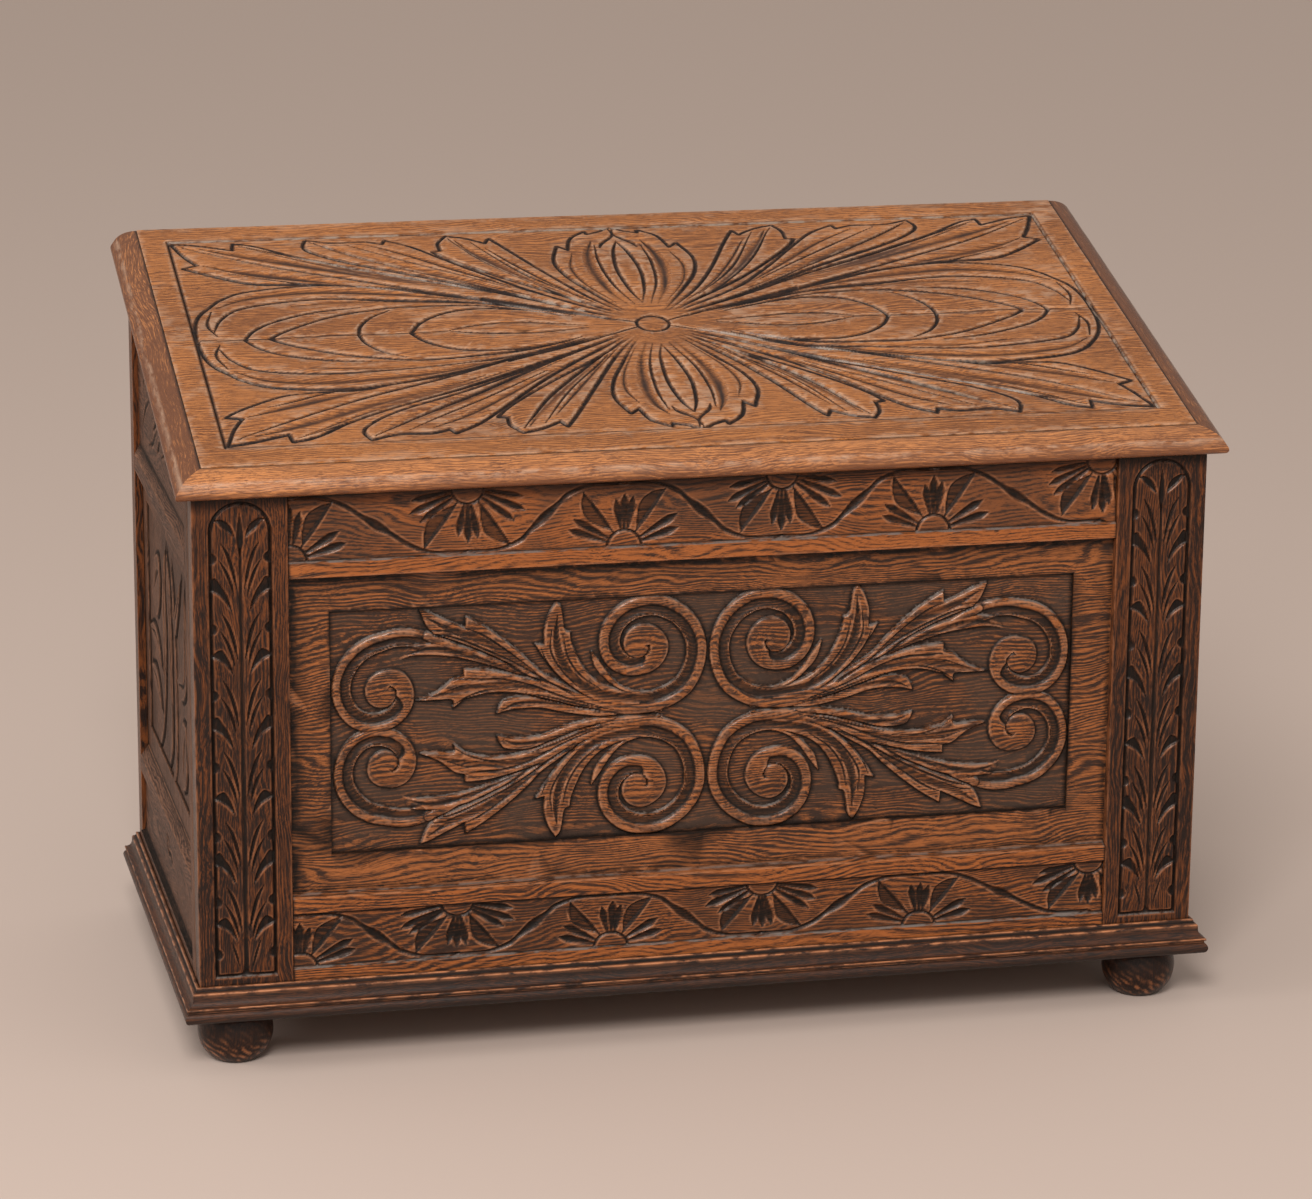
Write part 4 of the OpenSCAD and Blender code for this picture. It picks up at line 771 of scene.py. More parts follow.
def scroll_field(u, v, foot):
    """The panel's foliage: in each quarter a great scroll by the middle, a small one at the end and
    feathered leaves between them. One quarter is drawn and the others mirror it, by hand and so
    never quite alike."""
    grid_x, grid_y = np.meshgrid(u, v - foot)
    wander = [rippled(u, v, seed, 210.0) * 0.9 for seed in (3, 4)]
    centre = 151.0
    field = Carving(-np.abs(grid_x + wander[0]), centre + np.abs(grid_y - centre + wander[1]), 4.0)
    tip = 1
    # The leaves that lie behind come first
    field.stand([(-137, 261, tip), (-132, 254), (-129, 235), (-124, 232, tip), (-122, 220), (-112, 198),
                 (-98, 183), (-80, 175), (-64, 172.0), (-44, 173.2, tip), (-44, 160, tip), (-84, 161),
                 (-105, 168), (-128, 185), (-140, 198), (-149, 210), (-157, 223, tip), (-148, 221, tip),
                 (-148, 237), (-143, 252)], 1.1)
    field.strand([(-44, 172.4, 1.1), (-56, 170.9, 1.1), (-67, 171.8, 1.3), (-80, 177.5, 1.7),
                  (-91, 188, 2.6), (-99, 199, 3.2), (-105, 212, 0.4)], 1.2, 1.2)
    field.stand([(-279, 212, tip), (-276, 220), (-270, 225.5), (-249, 227.5), (-220, 222.5), (-191, 210),
                 (-162, 197.5), (-137, 181), (-110, 166), (-104, 160, tip), (-135, 172), (-155, 187),
                 (-178, 197.5), (-212, 209), (-241, 215), (-266, 216)], 0.9)
    field.strand([(-252, 233.5, 4.6), (-240, 228, 4.2), (-222, 218, 3.2), (-198, 206, 1.5)], 0.5, 1.5)
    field.stand([(-260, 259, tip), (-250, 255.5), (-243, 252), (-232, 246.5), (-220, 240.5, tip),
                 (-219, 251.5, tip), (-199, 239), (-178, 222.5), (-162, 208), (-150, 196), (-128, 182),
                 (-104, 164), (-98, 156, tip), (-130, 174), (-160, 192), (-190, 211), (-220, 225),
                 (-247, 235.5, tip), (-254, 244)], 0.6)
    field.stand([(-192, 160.5, tip), (-189, 168), (-183, 173.2), (-162, 174.5), (-137, 168), (-116, 161),
                 (-90, 156), (-80, 152, tip), (-99, 151.5), (-128, 157), (-153, 163.5), (-178, 163.5)],
                 0.8)
    field.stand([(-264, 174.5, tip), (-247, 181), (-238, 187), (-230, 193), (-221, 195, tip),
                 (-221, 202.5, tip), (-199, 200.5), (-178, 196), (-153, 189.5), (-128, 178), (-100, 164),
                 (-84, 157, tip), (-110, 160), (-137, 168), (-170, 178), (-199, 179.5), (-220, 175, tip),
                 (-231, 166.5, tip), (-231.5, 174.5), (-246, 174.5)], 0.4)
    field.strand([(-44, 157.8, 5.1), (-50, 156.9, 5.1), (-62, 156.6, 5.2), (-80, 157.6, 5.2),
                  (-98, 162, 5.0), (-118, 170, 4.2), (-145, 182, 1.0)], 0.25, 2.2)
    # Flutes and veins run the length of each leaf
    for points, deep, shape in (
            ([(-136, 249, 0.5), (-137, 228, 3.4), (-132, 206, 4.2), (-119, 187, 4.4), (-96, 172, 4.4),
              (-62, 166, 4.4), (-44, 167.5, 4.4)], 2.2, 2),
            ([(-141, 236, 0.4), (-142, 216, 1.1), (-132, 197, 1.1), (-118, 181, 0.4)], 1.1, 1),
            ([(-131, 230, 0.4), (-126, 208, 1.1), (-114, 190, 1.1), (-96, 176, 0.5)], 1.0, 1),
            ([(-151, 219, 0.4), (-146, 207, 1.0), (-137, 193, 0.9), (-124, 182, 0.4)], 0.9, 1),
            ([(-254, 252, 0.5), (-232, 239, 3.4), (-205, 228, 4.4), (-178, 212, 3.6), (-150, 191, 1.2)],
             1.6, 2),
            ([(-247, 236, 0.5), (-230, 232, 1.3), (-212, 224.6, 1.4), (-178, 208, 1.4), (-149, 190, 1.2),
              (-120, 172, 0.5)], 1.7, 1),
            ([(-220, 240.5, 0.4), (-205, 234, 1.3), (-186, 221, 1.3), (-157, 198, 0.4)], 1.5, 1),
            ([(-252, 240, 0.4), (-236, 238, 1.1), (-222, 232, 0.4)], 1.2, 1),
            ([(-274, 217, 0.5), (-250, 222, 2.8), (-222, 216.5, 3.0), (-190, 204, 2.4),
              (-155, 190, 0.5)], 1.6, 2),
            ([(-256, 177, 0.5), (-230, 182, 2.6), (-204, 186, 3.6), (-176, 186, 3.2), (-145, 178, 1.4)],
             1.5, 2),
            ([(-221, 194, 0.4), (-205, 192.5, 1.3), (-185, 191.5, 1.4), (-160, 185, 1.4),
              (-128, 171, 1.2), (-95, 160, 0.5)], 1.7, 1),
            ([(-238, 182, 0.4), (-222, 187, 1.1), (-206, 188, 0.4)], 1.2, 1),
            ([(-231, 170, 0.4), (-216, 178, 1.1), (-196, 183, 1.0), (-172, 182, 0.4)], 1.3, 1),
            ([(-187, 164, 0.4), (-172, 169, 2.2), (-146, 168, 2.4), (-116, 159, 0.6)], 1.4, 2),
            ([(-165, 178, 0.4), (-140, 172, 1.0), (-112, 163, 1.0), (-84, 157, 0.4)], 0.9, 1)):
        field.gouge(points, deep, shape, 0.5 if shape == 2 else 1.0)
    scroll(field, (-62, 216), range(0, 811, 45),
           (64.3, 66, 61, 52, 45.5, 41, 37, 33, 28.5, 27.5, 26, 22, 20, 17.5, 15.5, 14, 12.5, 10.5, 8),
           10.0, 8.0)
    scroll(field, (-292, 185), (138.6, 180, 225, 270, 315, 360, 405, 450, 495, 540, 630, 720, 810, 855),
           (68, 55, 49.5, 46, 42, 35.5, 31, 28, 25, 20, 16.5, 15, 12, 8), 8.6, 7.4)
    return field.face()


u = lines(-PANEL_HALF, PANEL_HALF, cell * 0.85, stops=(-FIELD_HALF, FIELD_HALF))
v = lines(*PANEL_ROWS, cell * 0.85, stops=FIELD_ROWS)
rows, columns = inside(v, *FIELD_ROWS), inside(u, -FIELD_HALF, FIELD_HALF)
depth, ink = let_in(rows, columns, scroll_field(u[columns], v[rows], DRAWN_FROM))
depth[np.ix_(rows, columns)] += np.clip(rippled(u[columns], v[rows], 31, 7.0) * 0.12, 0, 1)
depth += planed(u, v, (32, 33), (12.0, 90.0))
# Dirt lies along the opening and round the field; painted shadow lies below the top rail and beside the
# left stile
left_wall, right_wall = ((-OPENING_HALF, 1),), ((OPENING_HALF, -1),)
low_wall, top_wall = ((OPENING_ROWS[0], 1),), ((OPENING_ROWS[1], -1),)
dirt_and_shade = np.maximum(ink, corner_dirt_and_shade(u, v, right_wall, low_wall, 3.6))
# Painted shadow below the top rail and beside the left stile, black near them and fading further out
dirt_and_shade = np.maximum(dirt_and_shade, np.clip(corner_dirt_and_shade(u, v, left_wall, top_wall, 7.5) * 3, 0, 1))
dirt_and_shade = np.maximum(dirt_and_shade, 0.5 * corner_dirt_and_shade(u, v, left_wall, top_wall, 19.0))
dirt_and_shade = np.maximum(dirt_and_shade, corner_dirt_and_shade(u, v, ((-FIELD_HALF, 1), (FIELD_HALF, -1)), (), 2.4) * rows[:, None])
dirt_and_shade = np.maximum(dirt_and_shade, corner_dirt_and_shade(u, v, (), ((FIELD_ROWS[0], 1), (FIELD_ROWS[1], -1)), 2.4) * columns)
panel = board("front_panel_carved", u, v, depth, PANEL_THICK, lambda a, b, d: (a, PANEL_Y + d, b),
              panel_oak, cell * 0.85, ground=(1.0, 4.2), most=195000, dirt_and_shade=dirt_and_shade)
wood_piece(panel, "front_panel")

# The two sides: a narrow upright behind each front stile, two rails and a panel, all oak. The lower
# rail has a sunk band, the upper one tapers with the slope of the lid, and tall leaves are cut in the
# panel's sunk field. Wear and wax are heavier and duller here than in front.
DULL_STAIN = {"pale": (0.190, 0.092, 0.056), "dark": (0.034, 0.018, 0.013), "rubbed": (0.36, 0.16, 0.080),
              "dust_and_shade": (0.040, 0.022, 0.016), "gloss": 0.5, "shine": 0.12, "polish": 0.0, "figure": 0.7}
side_oak = oak_material("side_oak", "y", (2.7, 0.9, 0.3), rubbing=0.6, ground=0.5, **DULL_STAIN)
side_panel_oak = oak_material("side_panel_oak", "z", (5.1, 2.2, 0.8), rubbing=0.45, ground=0.5,
                              **DULL_STAIN)


def side_leaves(y, z):
    """Tall leaves and tulips of a side panel. y runs along the panel and z is the height above the
    plinth; the ground is two millimetres deep."""
    field = Carving(y, z, 2.2)
    tip = 1
    for leaf in (
            [(-120, 121, tip), (-96, 138), (-80, 166), (-71, 205), (-72, 250), (-64, 300),
             (-44, 336, tip), (-47, 290), (-46, 250), (-52, 212), (-60, 178), (-78, 146), (-100, 127)],
            [(-44, 118, tip), (-26, 150), (-19, 200), (-26, 250), (-38, 290), (-34, 334, tip), (-10, 300),
             (-4, 245), (-4, 190), (-12, 145)],
            [(17, 262, tip), (4, 285), (-2, 330, tip), (14, 308), (20, 285, tip), (32, 300),
             (70, 334, tip), (52, 300), (30, 270)],
            [(32, 228, tip), (58, 246), (82, 270), (92, 334, tip), (108, 285), (104, 245), (84, 222),
             (56, 214)],
            [(98, 148, tip), (96, 190), (110, 232), (134, 262), (150, 312, tip), (152, 262), (138, 225),
             (116, 190)],
            [(-174, 226, tip), (-140, 236), (-104, 228), (-80, 202, tip), (-104, 208), (-140, 214)],
            [(-168, 190, tip), (-132, 196), (-104, 184), (-88, 160, tip), (-112, 168), (-140, 172)],
            [(-150, 262, tip), (-132, 300), (-98, 312), (-84, 290, tip), (-96, 262), (-118, 246)],
            [(118, 118, tip), (140, 134), (152, 160, tip), (151, 128)],
            [(60, 128, tip), (50, 160), (62, 196), (92, 200, tip), (96, 168), (84, 138)]):
        field.stand(leaf, top=0.25, wall=2.4, rim=1.5, cup=0.25, rim_w=3.0, always=1.0)
    field.strand([(-6, 118, 5.0), (14, 146, 6.0), (20, 200, 6.0), (18, 262, 5.0)], 0.1, 0.8)
    for points, deep, shape in (
            ([(-106, 128, 0.6), (-78, 160, 3.6), (-62, 215, 4.4), (-60, 275, 3.6), (-50, 325, 0.6)],
             1.7, 2),
            ([(-34, 132, 0.6), (-14, 190, 3.4), (-14, 250, 4.6), (-28, 320, 0.6)], 1.6, 2),
            ([(-6, 120, 0.6), (10, 148, 1.8), (16, 200, 2.2), (16, 256, 0.8)], 1.6, 1),
            ([(22, 280, 0.6), (40, 296, 3.6), (62, 326, 0.6)], 1.6, 2),
            ([(12, 278, 0.6), (6, 296, 2.4), (2, 320, 0.5)], 1.4, 2),
            ([(44, 226, 0.6), (84, 238, 3.6), (96, 280, 4.0), (94, 322, 0.6)], 1.6, 2),
            ([(102, 165, 0.6), (116, 220, 3.8), (140, 262, 3.4), (149, 300, 0.6)], 1.6, 2),
            ([(-160, 224, 0.5), (-125, 226, 2.6), (-92, 212, 0.6)], 1.3, 2),
            ([(-152, 186, 0.5), (-122, 182, 2.6), (-98, 168, 0.6)], 1.3, 2),
            ([(-132, 272, 0.6), (-116, 288, 5.0), (-96, 296, 0.8)], 1.4, 2),
            ([(66, 146, 0.6), (72, 170, 5.0), (86, 190, 0.8)], 1.4, 2),
            ([(128, 124, 0.6), (142, 136, 2.0), (149, 150, 0.5)], 1.2, 2)):
        field.gouge(points, deep * 1.3, shape, 0.8)
    return field.face()


SIDE_THICK, SIDE_ENDS, SIDE_BACK = 20.0, (-174.7, 202.1), (-202.75, -175.0)
SIDE_LOW_TOP, SIDE_BAND, SIDE_CHAMFER_Z = 177.0, (90, 151), 166
SIDE_TOP_RAIL_Z, SIDE_STRIP_Z, SIDE_WEDGE = 449.0, 464.0, 100.0
SIDE_PANEL_X, SIDE_PANEL_THICK = 452.3, 9.9
SIDE_PANEL_SPAN, SIDE_PANEL_ROWS = (-178.0, 205.0), (173.0, 453.0)
SIDE_FIELD_SPAN, SIDE_FIELD_ROWS = (-151.0, 178.0), (201.0, 425.0)
side_walls = ((SIDE_ENDS[0], 1), (SIDE_ENDS[1], -1))


def side_place(side, face, a, b, d):
    """A point of a board on one side of the chest, whose outer face lies face from the middle."""
    return side * (face - d), a, b


def side_top(y):
    """Height of the carcass's sloping top edge."""
    return FRONT_TOP + (y - FRONT_Y) * np.tan(SLOPE)


def wedge_place(side, a, b, d):
    """The upper rail: rows up to its strip are level, and those above close up to the sloping edge."""
    above = np.clip((b - SIDE_STRIP_Z) / SIDE_WEDGE, 0, 1)
    return side * (SIDE_X - d), a, np.minimum(b, SIDE_STRIP_Z) + above * (side_top(a) - SIDE_STRIP_Z)


for side, name in ((-1, "left"), (1, "right")):
    v = lines(BASE_Z, SIDE_LOW_TOP, cell, stops=(*SIDE_BAND, SIDE_CHAMFER_Z))
    u = lines(*SIDE_ENDS, cell)
    rail = Carving(*np.meshgrid(-u, v), 0.0)
    rows = (rail_strip(v, *SIDE_BAND) * 4.3 + np.clip((v - SIDE_CHAMFER_Z) / 11, 0, 1) * 7.9
            + np.clip((96 - v) / 6, 0, 1) * rail_strip(v, 88.5, 96.5) * -1.2)
    rail.depth = np.repeat(rows, len(u))
    rail.gouge([(-37, 145, 0.8), (-34, 130, 2.6), (-24, 124, 3.0), (-8, 126, 2.6), (4, 122, 0.8)],
               1.6, 1.6)
    rail.gouge([(-32, 140, 0.8), (-24, 136, 2.4), (-14, 130, 0.8)], 1.3, 1.6)
    depth, ink = rail.face()
    depth = depth + planed(u, v, (41, 42), (11.0, 80.0), (0.06, 0.1))
    dirt_and_shade = np.maximum(ink, corner_dirt_and_shade(u, v, side_walls, ((SIDE_BAND[0], 1), (SIDE_BAND[1], -1)),
                                       RAIL_DIRT))
    rail = board(name + "_bottom_rail_carved", u, v, depth, SIDE_THICK, partial(side_place, side, SIDE_X),
                 side_oak, cell, ground=(3.0, 9.0), most=120000, dirt_and_shade=dirt_and_shade, lit=(0, 0))
    wood_piece(rail, name + "_bottom_rail")

    v = lines(SIDE_TOP_RAIL_Z, SIDE_STRIP_Z + SIDE_WEDGE, cell * 1.2, stops=(SIDE_STRIP_Z,))
    real_z = wedge_place(side, *np.meshgrid(u, v), 0)[2]
    rail = Carving(np.broadcast_to(-u, real_z.shape), real_z, 0.0)
    rail.depth = (np.clip((real_z - SIDE_STRIP_Z) / 11, 0, 1) * 5.5).ravel()
    for points in ([(-120, 492, 0.8), (-96, 499, 3.4), (-62, 518, 0.8)],
                   [(-92, 512, 0.8), (-72, 522, 3.8), (-50, 530, 0.8)],
                   [(-62, 498, 0.8), (-50, 506, 5.5), (-40, 512, 1.0)],
                   [(-172, 500, 0.8), (-150, 520, 4.0), (-118, 534, 0.8)],
                   [(-165, 540, 0.8), (-140, 556, 4.0), (-108, 560, 0.8)],
                   [(-30, 500, 0.8), (10, 512, 3.0), (48, 510, 0.8)]):
        rail.gouge(points, 1.5, 1.7)
    depth, ink = rail.face()
    depth = depth + planed(u, v, (43, 44), (11.0, 80.0), (0.06, 0.1))
    dirt_and_shade = np.maximum(ink, corner_dirt_and_shade(u, v, side_walls, (), RAIL_DIRT))
    rail = board(name + "_top_rail_carved", u, v, depth, SIDE_THICK, partial(wedge_place, side),
                 side_oak, cell, ground=(3.0, 9.0), most=120000, dirt_and_shade=dirt_and_shade, lit=(0, 0))
    wood_piece(rail, name + "_top_rail")

    u = lines(*SIDE_PANEL_SPAN, cell, stops=SIDE_FIELD_SPAN)
    v = lines(*SIDE_PANEL_ROWS, cell, stops=SIDE_FIELD_ROWS)
    rows, columns = inside(v, *SIDE_FIELD_ROWS), inside(u, *SIDE_FIELD_SPAN)
    depth, ink = let_in(rows, columns, side_leaves(*np.meshgrid(-u[columns], v[rows] - 80.0)))
    depth += planed(u, v, (45, 46), (9.0, 80.0), (0.07, 0.1))
    dirt_and_shade = corner_dirt_and_shade(u, v, ((-174.8, 1), (201.8, -1)), ((SIDE_LOW_TOP, 1), (SIDE_TOP_RAIL_Z, -1)), 4.0)
    panel = board(name + "_panel_carved", u, v, depth, SIDE_PANEL_THICK,
                  partial(side_place, side, SIDE_PANEL_X), side_panel_oak, cell, ground=(0.6, 3.4),
                  most=150000, dirt_and_shade=np.maximum(ink * 0.9, dirt_and_shade), lit=(0, 0))
    wood_piece(panel, name + "_panel")


def dressed(node, material, body="carcass", width=0.8):
    """A plain piece from its CAD mesh: its arrises are eased as a plane leaves them, and those
    narrow faces are marked as rubbed."""
    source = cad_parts[node]
    mesh = source.data.copy()
    mesh.transform(source.matrix_world)
    form = bmesh.new()
    form.from_mesh(mesh)
    bmesh.ops.remove_doubles(form, verts=form.verts, dist=0.00001)
    bmesh.ops.dissolve_limit(form, angle_limit=radians(0.5), verts=form.verts, edges=form.edges)
    form.to_mesh(mesh)
    form.free()
    mesh.materials.clear()
    mesh.materials.append(material)
    mesh.materials.append(material)
    mesh.polygons.foreach_set("material_index", np.zeros(len(mesh.polygons), np.int32))
    made = bpy.data.objects.new(node + "_dressed", mesh)
    scene.collection.objects.link(made)
    ease = made.modifiers.new("ease", "BEVEL")
    ease.width = width * MM
    ease.segments = 2
    ease.limit_method = "ANGLE"
    ease.angle_limit = radians(30)
    ease.material = 1
    ease.harden_normals = True
    lean = bpy.data.meshes.new_from_object(made.evaluated_get(bpy.context.evaluated_depsgraph_get()))
    made.modifiers.remove(ease)
    made.data = lean
    marks = np.zeros(len(lean.polygons), np.int32)
    lean.polygons.foreach_get("material_index", marks)
    totals = np.zeros(len(lean.polygons), np.int32)
    lean.polygons.foreach_get("loop_total", totals)
    paint = np.zeros((len(lean.loops), 4), np.float32)
    paint[:, 0] = np.repeat(marks, totals) * 0.8
    lean.color_attributes.new("carving", "FLOAT_COLOR", "CORNER").data.foreach_set("color", paint.ravel())
    lean.polygons.foreach_set("material_index", np.zeros(len(lean.polygons), np.int32))
    lean.materials.pop(index=1)
    return wood_piece(made, node, body)


def upright_place(side, a, b, d):
    """A side stile: its top follows the slope of the lid."""
    above = np.clip((b - 500) / 30, 0, 1)
    return side * (SIDE_X - d), a, b + above * (side_top(a) - 530)


upright_oak = oak_material("upright_oak", "z", (4.1, 5.2, 0.7), rubbing=0.6, **DULL_STAIN)
for side, name in ((-1, "left"), (1, "right")):
    u = lines(*SIDE_BACK, cell * 0.8)
    v = lines(BASE_Z, 530, cell * 1.5)
    upright = Carving(*np.meshgrid(u, v), 0.0)
    upright.gouge([(-194, 40, 1.5), (-194, 545, 1.5)], 1.7, 1.2)
    depth, ink = upright.face()
    dirt_and_shade = np.maximum(ink, corner_dirt_and_shade(u, v, ((SIDE_BACK[0], 1), (SIDE_BACK[1], -1)), (), 0.9))
    upright = board(name + "_side_stile_cut", u, v, depth, SIDE_THICK, partial(upright_place, side),
                    upright_oak, cell, ground=(3.0, 9.0), most=60000, dirt_and_shade=dirt_and_shade, lit=(0, 0))
    wood_piece(upright, name + "_side_stile")

# The back frame: two stiles, two rails, a muntin and two thin panels, left plain and darker because
# the chest stands against a wall. All are oak, tenoned and grooved together.
BACK = {**DULL_STAIN, "pale": (0.12, 0.060, 0.036), "rubbing": 0.35}
back_upright_oak = oak_material("back_upright_oak", "z", (6.3, 1.4, 2.0), **BACK)
rear_stile_oak = oak_material("rear_stile_oak", "z", (7.1, 3.4, 1.1), **DEEP_STAIN)
back_level_oak = oak_material("back_level_oak", "x", (7.4, 2.8, 1.2), **BACK)
for node in ("rear_left_stile", "rear_right_stile"):
    dressed(node, rear_stile_oak)
for node in ("rear_top_rail", "rear_bottom_rail"):
    dressed(node, back_level_oak)
dressed("rear_muntin", back_upright_oak)
for node in ("rear_left_panel", "rear_right_panel"):
    dressed(node, back_level_oak)

# The plinth: four oak mouldings mitred round the foot of the carcass and glued to it. From the top
# they have a fillet, a step, a cove, a list, a quirk and a half-round bead. Hands and brooms have
# rubbed the arrises down to bare orange wood.
# Painted shade: the plinth's undersides are blackened and its upright faces take the dark colour of the
# blue channel
PLINTH_STAIN = {**DEEP_STAIN, "rubbed": (0.47, 0.18, 0.072), "contrast": 0.5, "figure": 0.3,
                "dust_and_shade": (0.020, 0.012, 0.009), "shine": 0.14}
plinth_oak = oak_material("plinth_oak", "x", (8.2, 4.4, 3.1), rubbing=1.3, gloss=0.38, polish=0.45,
                          **PLINTH_STAIN)
plinth_side_oak = oak_material("plinth_side_oak", "y", (9.6, 3.5, 5.2), rubbing=1.0, gloss=0.40,
                               polish=0.2, **PLINTH_STAIN)


def worn_profile(points, radius):
    """A moulding's outline with every corner turned over a small radius. Two more columns mark the
    outward corners, which wear, and the inward ones, where wax gathers."""
    given = np.array(points, float)
    rows = []
    for before, here, after in zip(np.roll(given, 1, 0), given, np.roll(given, -1, 0)):
        to, fro = here - before, after - here
        reach = min(radius, np.hypot(*to) * 0.4, np.hypot(*fro) * 0.4)
        bend = np.degrees(np.arctan2(to[0] * fro[1] - to[1] * fro[0], to @ fro))
        start, end = here - to / np.hypot(*to) * reach, here + fro / np.hypot(*fro) * reach
        outward, inward = float(bend < -25), float(bend > 25)
        for t in (0.0, 0.35, 0.65, 1.0) if abs(bend) > 25 else (0.5,):
            point = (1 - t) ** 2 * start + 2 * t * (1 - t) * here + t * t * end
            mark = 1 if 0 < t < 1 else 0.25
            rows.append((*point, outward * mark, inward * mark))
    return np.array(rows)


def moulding(name, profile, low, high, place, material, seed, underside_shade=0.8, shade=0.75):
    """A length of moulding. The profile is a closed outline of (outward, height) in millimetres, in
    clockwise order, with its marks; low and high give the two ends for each of its points, and
    place(along, outward, height) gives a point of the chest. Worn arrises are let in unevenly.
    Painted shade: the argument after seed blackens what faces down, and shade lays the colour of the blue
    channel on it and on whatever is upright."""
    ring_points = len(profile)
    stations = 121
    share = np.linspace(0, 1, stations)[None, :]
    out, height = profile[:, 0:1], profile[:, 1:2]
    along = low(out, height) * (1 - share) + high(out, height) * share
    draw = np.random.default_rng(seed)
    wear = sum(np.sin(along * draw.uniform(0.02, 0.35) + draw.uniform(0, 6)) for _ in range(7)) / 3
    middle = profile[:, :2].mean(0)
    depth = profile[:, 2:3] * np.clip(0.12 + 0.22 * wear, 0, 0.5)
    toward = middle - profile[:, :2]
    toward /= np.maximum(np.hypot(*toward.T), 1e-6)[:, None]
    points = np.stack(place(along, out + depth * toward[:, 0:1], height + depth * toward[:, 1:2]), -1)
    index = np.arange(ring_points * stations).reshape(ring_points, stations)
    nxt = np.roll(index, -1, axis=0)
    quads = np.stack([index[:, :-1], index[:, 1:], nxt[:, 1:], nxt[:, :-1]], -1).reshape(-1, 4)
    start_cap, end_cap = index[:, 0], index[::-1, -1]
    origin, one_along = points[0, :2]
    spokes = points[:, 0] - points[:, 0].mean(0)
    area = np.cross(spokes, np.roll(spokes, -1, 0)).sum(0)
    turn = 1 if np.dot(area, one_along - origin) < 0 else -1
    corners = np.concatenate([quads[:, ::turn].ravel(), start_cap[::turn], end_cap[::turn]])
    starts = np.append(np.arange(0, 4 * len(quads) + 1, 4), 4 * len(quads) + ring_points)
    colours = np.zeros((ring_points, stations, 3))
    run = np.roll(profile[:, :2], -1, 0) - np.roll(profile[:, :2], 1, 0)
    upward = run[:, 0:1] / np.hypot(*run.T)[:, None]
    against_wall = out < 0.9
    colours[..., 0] = profile[:, 2:3] * np.clip(0.80 + 0.30 * wear, 0, 1) * ~against_wall
    # Green: wax in inward corners and on the face against the carcass, and painted shade on what faces
    # down
    colours[..., 1] = np.maximum(profile[:, 3:4], np.maximum(against_wall * (height > 5),
                                                             underside_shade * np.clip(-upward, 0, 1)))
    # Blue: painted shade on what faces down or stands upright
    colours[..., 2] = np.clip(shade - upward, 0, 1)
    made = fill_mesh(name, points.reshape(-1, 3), corners, starts, colours.reshape(-1, 3), material)
    made.data.shade_smooth()
    made.data.set_sharp_from_angle(angle=radians(40))
    return made


def arc(out, height, across, up, turns):
    """Points of a moulding's outline on an ellipse round (out, height), at the turns in degrees."""
    return [(out + across * cos(radians(a)), height + up * sin(radians(a))) for a in turns]


PLINTH_H, STEP_OUT, STEP_H, NECK_OUT, NECK_H = 31.5, 3.5, 28.0, 7.0, 26.5
LIST_OUT, LIST_H, COVE_TOP, COVE_FOOT, COVE_RUN = 13.5, 12.5, 22.5, 14.5, 6.5
QUIRK_OUT, QUIRK_H, BEAD_OUT, BEAD_R = 12.0, 11.0, 9.5, 5.5
PLINTH_PROFILE = worn_profile(
    [(0, 0), (0, PLINTH_H), (STEP_OUT, PLINTH_H), (STEP_OUT, STEP_H), (NECK_OUT, NECK_H)]
    + arc(LIST_OUT, COVE_TOP, -COVE_RUN, COVE_FOOT - COVE_TOP, range(0, 76, 15))
    + [(LIST_OUT, COVE_FOOT), (LIST_OUT, LIST_H), (QUIRK_OUT, LIST_H), (QUIRK_OUT, QUIRK_H)]
    + arc(BEAD_OUT, BEAD_R, BEAD_R, BEAD_R, range(66, -67, -12)) + [(BEAD_OUT, 0)], 1.3)
for name, face, sign in (("plinth_front", FRONT_Y, -1), ("plinth_rear", REAR_Y, 1)):
    run = moulding(name + "_run", PLINTH_PROFILE, lambda out, h: -SIDE_X - out,
                   lambda out, h: SIDE_X + out, lambda a, out, h: (a, face + sign * out, BASE_Z + h),
                   plinth_oak, 11)
    wood_piece(run, name)
for name, sign in (("plinth_left", -1), ("plinth_right", 1)):
    run = moulding(name + "_run", PLINTH_PROFILE, lambda out, h: FRONT_Y - out,
                   lambda out, h: REAR_Y + out, lambda a, out, h: (sign * (SIDE_X + out), a, BASE_Z + h),
                   plinth_side_oak, 17)
    wood_piece(run, name)

# The four bun feet: turned oak, each with a spigot that enters a corner block. They are stained
# nearly black and worn to orange specks where shoes have knocked them.
foot_oak = oak_material("foot_oak", "z", (3.3, 7.7, 6.1), cover=0.36, contrast=0.2, rubbing=1.2,
                        figure=0.0, shine=0.10, gloss=0.36, polish=0.25, **DEEP_STAIN)
FOOT_R, FOOT_GIRTH, FOOT_FLAT, FOOT_NECK, FOOT_H = 34.0, 27.0, 19.5, 27.0, 48.5
FOOT_X, FOOT_FRONT_Y, FOOT_REAR_Y = 424.5, -189.32, 189.68
SOLE_H, SOLE_IN = [0, 0.2, 0.7, 1.5], [1.2, 0.7, 0.25, 0.05]


def bun_radius(z):
    """Radius of a bun foot at height z: a flat ellipse below the girth and another above it."""
    end = np.where(z < FOOT_GIRTH, FOOT_FLAT, FOOT_NECK)
    span = np.where(z < FOOT_GIRTH, FOOT_GIRTH, FOOT_H - FOOT_GIRTH)
    return FOOT_R * np.sqrt(1 - ((z - FOOT_GIRTH) / span) ** 2 * (1 - (end / FOOT_R) ** 2))


def round_waves(draw, counts, lean, turns, heights):
    """Sum of waves round a turned piece: each count has its own lean up the piece and its start."""
    return sum(np.cos(k * turns + heights * draw.uniform(*lean) + draw.uniform(0, 6)) for k in counts)


